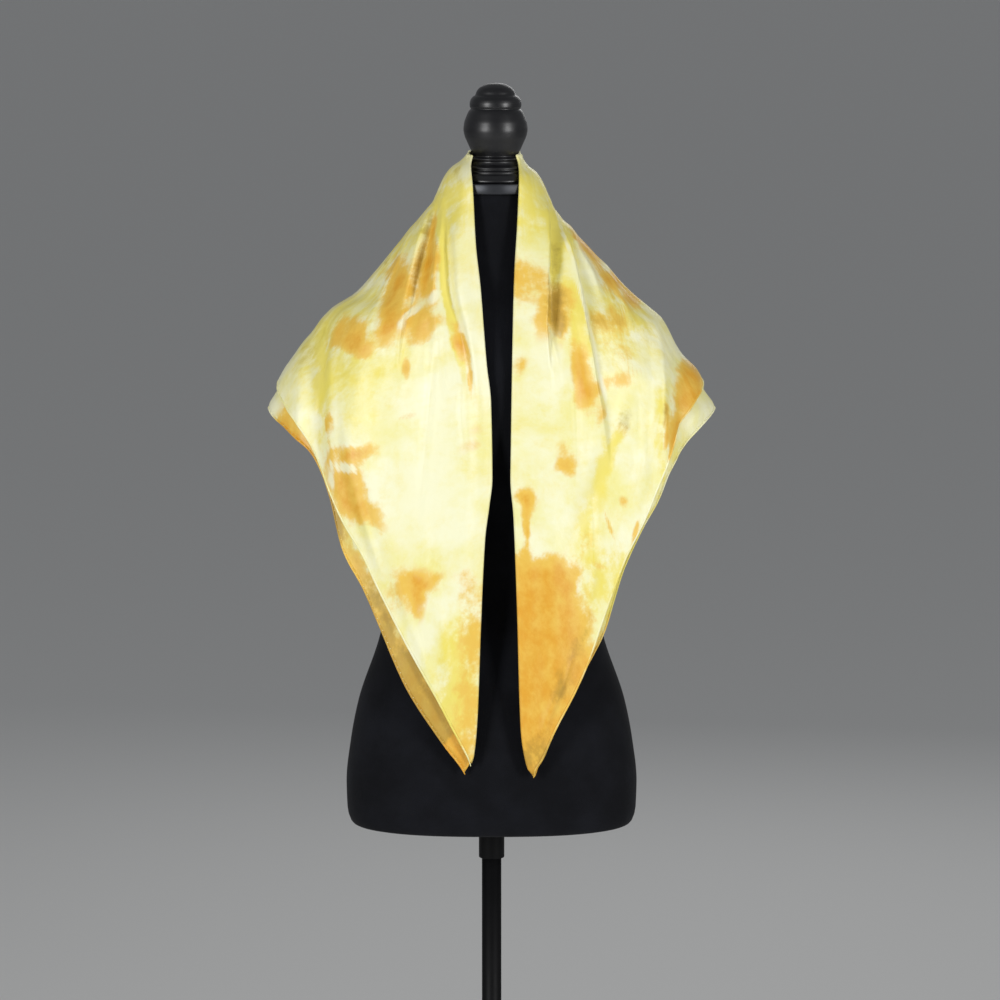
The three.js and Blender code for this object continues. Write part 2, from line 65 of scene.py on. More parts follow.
Colour = tuple[float, float, float]
Span = tuple[float, float]
Socket = bpy.types.NodeSocket


class Side(Enum):
    """A side of the body, as seen from the front; the value is the sign of x there."""

    LEFT = -1
    RIGHT = 1


class Face(Enum):
    """Which face of the drape a fold runs on."""

    FRONT = "front"
    BACK = "back"
    BOTH = "both"


class Dye(Enum):
    """A colour of the hand dyeing; lemon and olive also paint shade, and cream also paints highlights. The
    value is the name of its mask.
    """

    GOLD = "dye_gold"
    LEMON_AND_SHADE = "dye_lemon"
    OLIVE_AND_SHADE = "dye_olive"
    CREAM_AND_HIGHLIGHT = "dye_cream"


class SmoothCurve:
    """A smooth curve through a table's rows that never overshoots them."""

    def __init__(self, points: Iterable[tuple[float, float]]) -> None:
        """Fits the curve.

        Args:
            points: Pairs of a place along the curve and its value, in any order.
        """
        self.points = sorted(points)
        pairs = list(zip(self.points, self.points[1:]))
        slopes = [(y1 - y0) / (x1 - x0) for (x0, y0), (x1, y1) in pairs]
        inner = [
            0.0 if before * after <= 0 else 2 * before * after / (before + after)
            for before, after in zip(slopes, slopes[1:])
        ]
        self.tangents = [slopes[0], *inner, slopes[-1]]
        self.places = [x for x, _ in self.points]

    def __call__(self, x: float) -> float:
        """Reads the curve, which is level past its ends.

        Args:
            x: A place along it.

        Returns:
            Its value there.
        """
        if x <= self.places[0]:
            return self.points[0][1]
        if x >= self.places[-1]:
            return self.points[-1][1]
        i = bisect_right(self.places, x) - 1
        (x0, y0), (x1, y1) = self.points[i], self.points[i + 1]
        span = x1 - x0
        t = (x - x0) / span
        s = 1 - t
        bend = self.tangents[i] * t * s * s - self.tangents[i + 1] * t * t * s
        return y0 * (1 + 2 * t) * s * s + y1 * t * t * (3 - 2 * t) + span * bend


class Section(NamedTuple):
    """The drape's outer face at one height: half-widths, depths, and squareness (2 is an ellipse)."""

    z: float
    left: float
    right: float
    front: float
    back: float
    square: float


class HemRow(NamedTuple):
    """Where the two hems hang, by the turn round from the front fold edge (0) to the back (180)."""

    turn: float
    upper: float
    under: float


class Fold(NamedTuple):
    """A pleat or soft fold: rows of (height, distance from the middle, rise).

    to_middle and to_side are how far its flanks reach, crisp is 0 for a soft crest and 1 for a pressed
    one, and over is how far it leans over towards the side, as a share of its rise.
    """

    side: Side
    face: Face
    to_middle: float
    to_side: float
    crisp: float
    over: float
    rows: tuple[tuple[float, float, float], ...]


class Patch(NamedTuple):
    """A patch of dye, or of painted shade or highlight, on the hung cloth: its place, half-sizes, lean in
    degrees, amount and hardness.
    """

    x: float
    z: float
    wide: float
    high: float
    lean: float = 0
    amount: float = 1
    hard: float = 1.3


DyeShadeAndHighlights = dict[Dye, tuple[Patch, ...]]

SECTIONS = (
    Section(1506, 24.5, 31.5, 33, 33, 2),
    Section(1498, 28, 34, 34, 34, 2),
    Section(1489, 36, 38.5, 38, 38, 2),
    Section(1482, 46, 44, 44, 43, 2),
    Section(1476, 51.5, 52, 50, 50, 2),
    Section(1464, 58.5, 60, 59, 59, 2),
    Section(1440, 69, 71, 65, 65, 2),
    Section(1428, 77.5, 79, 69, 69, 2),
    Section(1416, 87, 86, 73, 73, 2),
    Section(1391, 110, 111, 81, 81, 2),
    Section(1361, 135, 138, 90, 89, 2),
    Section(1334, 160, 165, 98, 95, 2),
    Section(1319, 184, 183, 102, 98, 2.05),
    Section(1304, 202, 200, 106, 101, 2.1),
    Section(1284, 216, 212, 111, 105, 2.1),
    Section(1262, 231, 227, 115, 109, 2.1),
    Section(1242, 245, 243, 119, 112, 2.1),
    Section(1218, 257, 255, 122, 115, 2.1),
    Section(1196, 264, 264, 125, 117, 2.1),
    Section(1130, 264, 264, 127, 119, 2.1),
    Section(1086, 262, 262, 127, 120, 2.1),
    Section(740, 256, 256, 121, 122, 2.1),
)

THROAT = ((0, 1497), (25, 1499.5), (60, 1501.5), (180, 1500))

FOLD_EDGE = {
    Side.LEFT: (
        (1502, -21.5), (1494, -23.4), (1487, -24.4), (1472, -23), (1443, -21), (1396, -18), (1349, -12.5),
        (1261, -5), (1218, 0), (1129, 1.5), (1099, -2), (1060, -7), (956, -12), (850, -16), (806, -20),
        (793, -24), (782, -31),
    ),
    Side.RIGHT: (
        (1502, 28), (1495, 30.4), (1488, 32.6), (1467, 33), (1425, 31), (1370, 27), (1313, 25),
        (1170, 22.5), (1129, 22), (1086, 25.5), (982, 29.5), (837, 34), (792, 41), (780, 49),
    ),
}

HEM = {
    Side.LEFT: (
        HemRow(0, 793, 782),
        HemRow(6, 836, 806),
        HemRow(11, 875, 832),
        HemRow(19, 934, 881),
        HemRow(28, 1002, 958),
        HemRow(33, 1040, 999),
        HemRow(40, 1079, 1042),
        HemRow(45, 1113, 1101),
        HemRow(50, 1147, 1137),
        HemRow(55, 1174, 1159),
        HemRow(61, 1195, 1171),
        HemRow(71, 1214, 1186),
        HemRow(90, 1230, 1199),
        HemRow(108, 1212, 1187),
        HemRow(120, 1184, 1163),
        HemRow(132, 1134, 1114),
        HemRow(146, 1050, 1024),
        HemRow(160, 940, 916),
        HemRow(172, 838, 815),
        HemRow(180, 772, 752),
    ),
    Side.RIGHT: (
        HemRow(0, 780, 778),
        HemRow(5, 802, 800),
        HemRow(10, 839, 837),
        HemRow(19, 907, 904),
        HemRow(25, 970, 947),
        HemRow(28, 999, 980),
        HemRow(32, 1034, 1022),
        HemRow(39, 1079, 1069),
        HemRow(45, 1123, 1099),
        HemRow(49, 1153, 1128),
        HemRow(55, 1189, 1152),
        HemRow(64, 1210, 1175),
        HemRow(76, 1223, 1191),
        HemRow(90, 1231, 1199),
        HemRow(106, 1216, 1190),
        HemRow(119, 1180, 1162),
        HemRow(133, 1122, 1100),
        HemRow(147, 1034, 1012),
        HemRow(161, 930, 908),
        HemRow(172, 838, 816),
        HemRow(180, 772, 752),
    ),
}

FOLDS = (
    # The band along the left fold edge, and the valley that it lies over.
    Fold(Side.LEFT, Face.BOTH, 16, 16, 0, 0, (
        (1468, 32, 0), (1410, 34, 2.5), (1350, 32, 3), (1300, 22, 3.5), (1150, 12, 3), (960, 26, 2),
        (850, 30, 0),
    )),
    Fold(Side.LEFT, Face.BOTH, 10, 14, 0, 0, (
        (1444, 55, 0), (1416, 54, -4.5), (1397, 53.4, -6.5), (1378, 51, -7.5), (1352, 49.4, -7.5),
        (1335, 46.5, -8), (1312, 40.7, -6.5), (1289, 33.8, -4.5), (1255, 26.8, -3), (1226, 22, -1.5),
        (1180, 19, 0),
    )),
    # The left front pleat, and the crease at its outer side with the edge that lies over it.
    Fold(Side.LEFT, Face.BOTH, 8, 14, 0.3, -0.1, (
        (1452, 56, 0), (1441, 57, 2), (1414, 58.5, 4.5), (1397, 60.5, 5.5), (1378, 63, 6), (1352, 65, 6),
        (1335, 65, 5), (1312, 63, 4), (1270, 60, 2.2), (1220, 58, 0),
    )),
    Fold(Side.LEFT, Face.BOTH, 24, 6, 0.3, -0.2, (
        (1446, 62, 0), (1434, 65.5, -3), (1412, 73.5, -6.5), (1383, 81.5, -9), (1354, 88.4, -9),
        (1321, 94.8, -7), (1278, 101.7, -4), (1235, 105, 0),
    )),
    Fold(Side.LEFT, Face.BOTH, 6, 28, 0.2, -0.3, (
        (1442, 67, 0), (1434, 71, 1.2), (1412, 79.6, 3), (1383, 88.2, 4), (1354, 95.2, 4.2),
        (1321, 101.6, 3.8), (1278, 108.5, 2.4), (1235, 112, 0),
    )),
    # The left wing's fold and the swell of the chest.
    Fold(Side.LEFT, Face.BOTH, 17, 24, 0.1, 0, (
        (1316, 186, 0), (1290, 198, -6), (1240, 203, -10), (1190, 204, -9), (1130, 198, -5),
        (1090, 190, 0),
    )),
    Fold(Side.LEFT, Face.FRONT, 48, 42, 0, 0, (
        (1330, 140, 0), (1240, 146, 4), (1120, 132, 5), (1000, 96, 3), (900, 70, 0),
    )),
    # The right front pleat, which lies over the dark valley behind its crisp edge.
    Fold(Side.RIGHT, Face.BOTH, 24, 5, 0.4, 0.45, (
        (1450, 60, 0), (1440, 63, 2), (1424, 63, 5), (1385, 62, 8.5), (1332, 60.5, 9), (1307, 60, 8.5),
        (1290, 62, 6), (1268, 65, 3), (1246, 68, 1), (1220, 71, 0),
    )),
    Fold(Side.RIGHT, Face.BOTH, 6, 19, 0.1, -0.1, (
        (1442, 68, 0), (1426, 70.5, -3.5), (1385, 71.5, -7), (1332, 70, -8), (1307, 70.5, -6.5),
        (1287, 76, -3.5), (1262, 82, -1.5), (1230, 86, 0),
    )),
    # The right second and third pleats.
    Fold(Side.RIGHT, Face.BOTH, 13, 7, 0.6, 0.25, (
        (1432, 75, 0), (1418, 80, 3), (1389, 88.5, 6), (1360, 95.5, 7.5), (1329, 102, 8),
        (1298, 107.5, 7.5), (1271, 113, 7), (1240, 118.5, 6), (1210, 125.5, 4.5), (1170, 133, 2.5),
        (1120, 140, 0),
    )),
    Fold(Side.RIGHT, Face.BOTH, 8, 10, 0.7, 0.15, (
        (1420, 84, 0), (1410, 90, 3), (1389, 98, 5.5), (1374, 106, 6), (1360, 115, 5), (1330, 130, 0),
    )),
    # The right wing's ridge and valley.
    Fold(Side.RIGHT, Face.BOTH, 13, 12, 0.3, 0, (
        (1308, 190, 0), (1285, 194, 3), (1238, 198, 5), (1190, 199, 4.5), (1140, 202, 2.5),
        (1100, 200, 0),
    )),
    Fold(Side.RIGHT, Face.BOTH, 12, 24, 0, 0, (
        (1290, 214, 0), (1240, 219, -5), (1190, 222, -4.5), (1150, 226, -3),
    )),
    # The broad valley and swell low on the right.
    Fold(Side.RIGHT, Face.FRONT, 34, 30, 0, 0, (
        (1262, 158, 0), (1204, 148, -5), (1129, 134, -7), (1085, 116, -5), (1020, 98, 0),
    )),
    Fold(Side.RIGHT, Face.FRONT, 30, 40, 0, 0, (
        (1120, 62, 0), (1020, 66, 4), (900, 70, 3.5), (820, 60, 0),
    )),
    # The waves of the back, deepest at the hem.
    Fold(Side.LEFT, Face.BACK, 40, 34, 0, 0, (
        (1220, 118, 0), (1080, 112, 8), (960, 104, 11), (860, 96, 12),
    )),
    Fold(Side.LEFT, Face.BACK, 30, 34, 0, 0, (
        (1230, 178, 0), (1120, 172, -8), (1000, 164, -10),
    )),
    Fold(Side.RIGHT, Face.BACK, 36, 40, 0, 0, (
        (1200, 84, 0), (1060, 82, 7), (940, 80, 11), (840, 78, 11),
    )),
    Fold(Side.RIGHT, Face.BACK, 32, 36, 0, 0, (
        (1230, 150, 0), (1120, 148, -7), (980, 144, -10),
    )),
    # The back's soft pleats from the neck.
    Fold(Side.LEFT, Face.BACK, 12, 16, 0.3, 0, (
        (1460, 24, 0), (1410, 34, 4), (1340, 52, 6), (1250, 70, 5), (1150, 82, 2), (1080, 88, 0),
    )),
    Fold(Side.LEFT, Face.BACK, 16, 10, 0.5, 0, (
        (1440, 60, 0), (1390, 84, 4), (1330, 118, 5), (1270, 146, 3), (1220, 164, 0),
    )),
    Fold(Side.RIGHT, Face.BACK, 14, 14, 0.4, 0, (
        (1460, 30, 0), (1400, 40, 5), (1320, 50, 6), (1230, 56, 4), (1120, 60, 0),
    )),
    Fold(Side.RIGHT, Face.BACK, 10, 18, 0.4, 0, (
        (1430, 64, 0), (1380, 92, 4), (1320, 124, 5), (1260, 150, 2.5), (1210, 168, 0),
    )),
    Fold(Side.RIGHT, Face.BACK, 14, 12, 0.4, 0, (
        (1200, 20, 0), (1100, 16, 3), (980, 20, 5), (880, 14, 4),
    )),
    # Finer creases that only the cloth itself shows.
    Fold(Side.LEFT, Face.BOTH, 5, 9, 0.8, 0, (
        (1420, 88, 0), (1395, 98, 1.6), (1365, 112, 2), (1335, 128, 1.4), (1300, 142, 0),
    )),
    Fold(Side.LEFT, Face.FRONT, 6, 10, 0.5, 0, (
        (1290, 66, 0), (1250, 68, 1.6), (1200, 72, 2), (1140, 78, 1.5), (1080, 84, 0),
    )),
    Fold(Side.LEFT, Face.FRONT, 5, 7, 0.7, 0, (
        (1250, 30, 0), (1215, 34, 1.6), (1180, 32, 1.8), (1140, 26, 0),
    )),
    Fold(Side.LEFT, Face.FRONT, 9, 12, 0.3, 0, (
        (1210, 166, 0), (1160, 164, 2.4), (1110, 154, 2.8), (1060, 140, 2), (1010, 124, 0),
    )),
    Fold(Side.LEFT, Face.FRONT, 10, 14, 0.2, 0, (
        (1080, 70, 0), (1000, 64, 2.2), (930, 54, 2.5), (860, 42, 0),
    )),
    Fold(Side.LEFT, Face.FRONT, 8, 14, 0.3, 0, (
        (1040, 112, 0), (980, 98, 2), (920, 78, 2), (870, 62, 0),
    )),
    Fold(Side.RIGHT, Face.BOTH, 4, 6, 0.9, 0, (
        (1440, 44, 0), (1400, 46, 0.8), (1350, 44, 1), (1300, 40, 0.7), (1260, 36, 0),
    )),
    Fold(Side.RIGHT, Face.FRONT, 6, 9, 0.6, 0, (
        (1260, 92, 0), (1215, 96, 1.8), (1160, 98, 2), (1100, 96, 0),
    )),
    Fold(Side.RIGHT, Face.FRONT, 6, 9, 0.5, 0, (
        (1240, 166, 0), (1190, 170, 2), (1140, 174, 2), (1090, 172, 0),
    )),
    Fold(Side.RIGHT, Face.FRONT, 6, 10, 0.6, 0, (
        (1130, 112, 0), (1080, 118, 2), (1020, 118, 2.4), (960, 108, 0),
    )),
    Fold(Side.RIGHT, Face.FRONT, 12, 7, 0.3, 0, (
        (930, 96, 0), (890, 82, 2.6), (850, 66, 2.8), (805, 54, 0),
    )),
    Fold(Side.RIGHT, Face.BOTH, 7, 9, 0.4, 0, (
        (1395, 120, 0), (1365, 134, 1.6), (1330, 152, 1.8), (1290, 168, 0),
    )),
)

# The turns, by height, between which the pleats lie and the sheet's columns gather.
PLEATED = {
    Side.LEFT: (
        (1470, 40, 88), (1446, 38, 88), (1400, 24, 62), (1350, 12, 48), (1300, 6, 38), (1250, 4, 34),
        (1180, 4, 32),
    ),
    Side.RIGHT: (
        (1470, 44, 88), (1446, 44, 88), (1410, 32, 86), (1375, 22, 70), (1336, 14, 55), (1300, 10, 42),
        (1250, 10, 38), (1180, 10, 36),
    ),
}

DYE_SHADE_AND_HIGHLIGHT_PATCHES = {
    Dye.GOLD: (
        # The left front.
        Patch(-68, 1411, 4, 20, -6, 1), Patch(-72, 1365, 11, 34, -4, 1.05),
        Patch(-106, 1350, 15, 26, -14, 1), Patch(-114, 1306, 11, 28, -12, 1),
        Patch(-80, 1305, 20, 17, 35, 1), Patch(-163, 1292, 24, 18, -15, 0.85),
        Patch(-150, 1278, 14, 8, -10, 0.8), Patch(-99, 1255, 4, 10, 0, 0.8),
        Patch(-36, 1283, 6, 20, 14, 0.95), Patch(-24, 1244, 3, 19, 6, 0.85),
        Patch(-18, 1190, 14, 8, 40, 0.45), Patch(-26, 1166, 15, 8, 20, 0.55),
        Patch(-97, 1202, 14, 4, 12, 0.5), Patch(-190, 1190, 5, 14, 0, 0.9),
        Patch(-168, 1112, 22, 32, 18, 1), Patch(-160, 1156, 26, 10, 8, 0.95),
        Patch(-150, 1092, 14, 14, 0, 0.8), Patch(-79, 1009, 20, 17, 0, 1),
        Patch(-84, 984, 10, 22, 4, 0.9), Patch(-108, 996, 14, 24, 0, 0.66, 1),
        Patch(-30, 1007, 12, 18, 0, 0.45), Patch(-32, 846, 24, 70, -10, 0.52, 1),
        Patch(-24, 930, 12, 50, 0, 0.42, 1), Patch(-28, 812, 14, 28, 0, 0.5, 1),
        Patch(-128, 1080, 14, 26, 20, 0.45),
        # The right front.
        Patch(30, 1364, 12, 24, 0, 0.75, 1), Patch(50, 1352, 14, 26, -25, 0.5, 1),
        Patch(60, 1314, 8, 24, -4, 0.62, 1), Patch(77, 1318, 13, 26, -4, 0.9, 1),
        Patch(33, 1259, 9, 11, 0, 0.85), Patch(102, 1264, 9, 20, 6, 0.9), Patch(109, 1234, 11, 22, 6, 1),
        Patch(112, 1388, 8, 32, 36, 0.9), Patch(141, 1351, 18, 9, 8, 0.9),
        Patch(161, 1332, 15, 12, -34, 0.8), Patch(134, 1304, 22, 15, -20, 0.55, 1),
        Patch(150, 1272, 16, 8, -20, 0.4, 1), Patch(148, 1241, 24, 8, 12, 0.7),
        Patch(128, 1200, 8, 14, 0, 0.5), Patch(233, 1231, 18, 38, -28, 1.1),
        Patch(216, 1188, 10, 24, -25, 0.75, 1), Patch(209, 1160, 3, 20, -14, 0.95),
        Patch(204, 1174, 2.5, 34, 3, 0.9), Patch(149, 1184, 10, 9, 0, 0.45),
        Patch(82, 1150, 13, 17, 0, 0.8), Patch(43, 1106, 13, 17, -6, 0.95),
        Patch(41, 1068, 4, 18, 0, 0.85), Patch(137, 1073, 2, 18, 22, 0.75),
        Patch(153, 1100, 5, 8, 20, 0.6), Patch(167, 1064, 3, 17, -16, 0.65),
        Patch(126, 1026, 10, 4, -10, 0.6), Patch(108, 1053, 12, 20, -20, 0.42, 1),
        # The golden field at the right tip.
        Patch(56, 946, 62, 78, 22, 1.1, 2.4), Patch(34, 1008, 22, 36, 0, 1, 2),
        Patch(70, 1006, 26, 32, 20, 0.95, 1.8), Patch(62, 862, 50, 90, 16, 1.1, 2.4),
        Patch(52, 806, 36, 50, 10, 1.2, 2),
    ),
    Dye.LEMON_AND_SHADE: (
        # Lemon dye, partly painted shade: the four patches along the left band's valley, the one on the
        # right valley (73, 1392), the two along the broad valley low on the right (131, 1149 and 110, 1086)
        # and the one on the left wing's fold (-196, 1220) paint the deeper yellow of shade there, and the
        # washes on the left wing and shoulder (-190, 1290 and -112, 1398) paint the shade of the cloth
        # turning away from the light.
        Patch(-57, 1418, 5, 24, 2, 1), Patch(-54, 1372, 6, 30, 4, 1), Patch(-48, 1322, 6, 30, 9, 0.85),
        Patch(-36, 1268, 5, 34, 14, 0.7), Patch(-150, 1240, 60, 60, 0, 0.4),
        Patch(-50, 1448, 36, 44, 0, 0.5, 1), Patch(-190, 1290, 40, 60, -40, 0.5, 1),
        Patch(-112, 1398, 34, 40, -40, 0.5, 1), Patch(-196, 1220, 8, 60, 0, 0.6),
        Patch(-110, 1080, 60, 60, 0, 0.3), Patch(-40, 870, 30, 100, -10, 0.85, 1),
        Patch(73, 1392, 7, 46, 0, 1), Patch(100, 1312, 11, 46, 13, 0.75), Patch(88, 1402, 8, 26, 20, 0.7),
        Patch(148, 1312, 46, 46, 0, 0.6, 1), Patch(131, 1149, 11, 52, -20, 0.75, 1),
        Patch(48, 1446, 34, 54, 0, 0.5, 1), Patch(198, 1184, 9, 60, 0, 0.6, 1),
        Patch(110, 1086, 16, 50, -18, 0.5, 1), Patch(130, 1014, 32, 46, -20, 0.6, 1),
    ),
    Dye.OLIVE_AND_SHADE: (
        # Olive dye, partly painted shade: the two on the right valley (76, 1316 and 73, 1372) are part olive
        # dye and part painted shade of that valley, the strokes along the left crease (-73, 1418 and -84,
        # 1370) are its painted shadow, and (-208, 1279) is painted shade at the left wing's edge. The last
        # three make the right tip darker.
        Patch(76, 1316, 10, 24, -4, 0.7, 1), Patch(73, 1372, 8, 44, -2, 0.42, 1),
        Patch(130, 1300, 18, 14, -20, 0.35, 1), Patch(-86, 1417, 6, 8, 0, 0.4, 1),
        Patch(-123, 1374, 6, 8, 0, 0.4, 1), Patch(-142, 1348, 6, 8, 0, 0.35, 1),
        Patch(-208, 1279, 20, 44, -40, 0.3, 1), Patch(-73, 1418, 4, 18, -14, 0.5, 1),
        Patch(-84, 1370, 5, 34, -13, 0.5, 1), Patch(202, 1190, 4, 26, 2, 0.45, 1),
        Patch(153, 1190, 11, 12, 0, 0.5, 1), Patch(-40, 1474, 8, 12, 0, 0.4),
        Patch(103, 938, 10, 36, -24, 0.42, 1), Patch(80, 880, 9, 20, -28, 0.5, 1),
        Patch(54, 806, 30, 26, 0, 0.55, 1),
    ),
    Dye.CREAM_AND_HIGHLIGHT: (
        Patch(-68, 1336, 12, 5, 30, 0.8), Patch(-90, 1320, 12, 3.5, 42, 0.7),
        Patch(-104, 1302, 5, 12, -20, 0.4), Patch(-172, 1139, 15, 6, 8, 1),
        Patch(-186, 1122, 4, 12, 0, 0.8), Patch(-60, 1200, 44, 70, 0, 0.6),
        Patch(-70, 1090, 50, 60, 0, 0.6), Patch(90, 1100, 40, 26, 0, 0.5),
        Patch(150, 1322, 4, 10, 30, 0.5), Patch(66, 1240, 26, 60, 0, 0.6),
        Patch(-80, 940, 20, 40, -20, 0.7), Patch(140, 1366, 3, 10, 38, 0.4),
        # Painted highlights: these three strokes follow the crest of the right second pleat.
        Patch(84, 1404, 2.5, 36, 18, 0.7, 1), Patch(105, 1336, 3, 44, 14, 0.7, 1),
        Patch(124, 1254, 3, 50, 12, 0.6, 1),
    ),
}

UNDER_PATCHES = {
    Dye.GOLD: (
        Patch(-225, 1163, 18, 44, 29, 1.1), Patch(-190, 1096, 16, 46, 26, 0.85),
        Patch(-154, 1004, 22, 56, 27, 0.7), Patch(-112, 926, 24, 60, 31, 0.85),
        Patch(-82, 868, 24, 60, 31, 0.9), Patch(-46, 810, 26, 50, 28, 1.1),
        Patch(60, 830, 60, 70, -25, 1.1), Patch(112, 920, 16, 40, -30, 0.6, 1),
    ),
    Dye.LEMON_AND_SHADE: (
        Patch(-250, 1200, 16, 20, 0, 0.4), Patch(-170, 1050, 20, 60, 27, 0.7),
        Patch(150, 1010, 26, 90, -27, 0.8, 1), Patch(226, 1160, 30, 60, -30, 0.4, 1),
    ),
    Dye.OLIVE_AND_SHADE: (
        # Olive dye along the under ply's left strip, made darker as painted shade.
        Patch(-186, 1084, 16, 40, 26, 0.75), Patch(-140, 980, 20, 36, 29, 0.6),
        Patch(-100, 904, 22, 34, 31, 0.9), Patch(-74, 850, 18, 22, 31, 1),
        Patch(-60, 826, 14, 9, 31, 0.9), Patch(-122, 944, 14, 12, 31, 0.8),
    ),
    Dye.CREAM_AND_HIGHLIGHT: (
        Patch(-258, 1204, 14, 12, 0, 0.9), Patch(246, 1192, 26, 30, -30, 0.6, 1),
        Patch(-52, 800, 9, 6, 31, 0.5),
    ),
}

BACK_PATCHES = {
    Dye.GOLD: (
        # Washes.
        Patch(-96, 1330, 54, 70, 30, 0.42, 1), Patch(116, 1290, 50, 80, -28, 0.42, 1),
        Patch(-60, 1150, 60, 44, 10, 0.4, 1), Patch(84, 1090, 46, 66, -8, 0.42, 1),
        Patch(-120, 1100, 30, 60, 24, 0.4, 1), Patch(10, 960, 60, 56, 0, 0.45, 1),
        # Drifts.
        Patch(-74, 1380, 14, 40, 24, 0.9), Patch(-104, 1340, 12, 30, 34, 0.85),
        Patch(-64, 1332, 26, 10, 12, 0.8), Patch(92, 1356, 12, 40, -22, 0.9),
        Patch(120, 1306, 26, 13, -30, 0.85), Patch(-154, 1276, 34, 12, 32, 0.85),
        Patch(-180, 1236, 10, 28, 4, 0.7), Patch(176, 1250, 11, 40, -20, 0.9),
        Patch(210, 1196, 12, 34, -24, 0.9), Patch(-216, 1206, 13, 38, 24, 0.95),
        Patch(18, 1262, 9, 34, 8, 0.7), Patch(36, 1226, 22, 9, -10, 0.65),
        Patch(-76, 1166, 17, 34, 16, 0.85), Patch(-48, 1138, 20, 12, -20, 0.75),
        Patch(98, 1118, 14, 32, -10, 0.85), Patch(74, 1080, 20, 12, 20, 0.7),
        Patch(-126, 1104, 9, 34, 22, 0.7), Patch(14, 1010, 34, 12, 14, 0.7),
        Patch(-30, 988, 11, 26, 12, 0.75), Patch(58, 956, 12, 28, 12, 0.75),
        Patch(0, 866, 60, 70, 0, 1.1, 2.4), Patch(-10, 806, 40, 60, 0, 1.2, 2),
    ),
    Dye.LEMON_AND_SHADE: (
        Patch(-100, 1330, 60, 60, 0, 0.5), Patch(110, 1280, 60, 60, 0, 0.6),
        Patch(0, 1120, 80, 70, 0, 0.45), Patch(-60, 990, 50, 60, 0, 0.6),
        Patch(0, 1440, 60, 44, 0, 0.5, 1), Patch(62, 1210, 10, 90, 4, 0.6),
    ),
    Dye.OLIVE_AND_SHADE: (
        Patch(90, 1345, 9, 26, -20, 0.45, 1), Patch(-74, 1170, 12, 14, 0, 0.35, 1),
        Patch(0, 800, 24, 30, 0, 0.45, 1), Patch(-100, 1346, 8, 20, 30, 0.35, 1),
    ),
    Dye.CREAM_AND_HIGHLIGHT: (
        Patch(-66, 1356, 24, 4, -20, 0.9), Patch(104, 1326, 20, 4, -30, 0.9),
        Patch(0, 1190, 50, 50, 0, 0.5), Patch(30, 1060, 30, 40, 0, 0.5),
    ),
}


def powered(value: float, power: float) -> float:
    """Returns value raised to power, with its sign kept."""
    return math.copysign(abs(value) ** power, value)


def clamped(value: float) -> float:
    """Returns value, held between 0 and 1."""
    return min(1, max(0, value))


def flank(distance: float, reach: float, crisp: float) -> float:
    """Returns how far a fold still stands at a distance from its crest.

    Args:
        distance: The distance from the crest.
        reach: How far the flank reaches.
        crisp: 0 for a soft crest, 1 for a pressed one.

    Returns:
        A share of the fold's rise, from 0 to 1.
    """
    if distance >= reach:
        return 0.0
    soft = (1 + math.cos(math.pi * distance / reach)) / 2
    return soft + crisp * ((1 - distance / reach) ** 2 - soft)


@dataclass
class Crease:
    """A fold with its tables made into curves."""

    fold: Fold
    out: SmoothCurve = field(init=False)
    rise: SmoothCurve = field(init=False)
    top: float = field(init=False)
    foot: float = field(init=False)

    def __post_init__(self) -> None:
        """Makes the curves."""
        rows = self.fold.rows
        self.out = SmoothCurve((z, out) for z, out, _ in rows)
        self.rise = SmoothCurve((z, rise) for z, _, rise in rows)
        self.top = rows[0][0]
        self.foot = rows[-1][0] if rows[-1][2] == 0 else -math.inf

    def lift(self, out: float, z: float) -> float:
        """Finds how far this crease lifts the cloth.

        Args:
            out: The distance out from the middle of the body.
            z: The height.

        Returns:
            The lift, which is below 0 in a valley.
        """
        if not self.foot < z < self.top:
            return 0.0
        past = out - self.out(z)
        reach = self.fold.to_middle if past < 0 else self.fold.to_side
        return self.rise(z) * flank(abs(past), reach, self.fold.crisp)


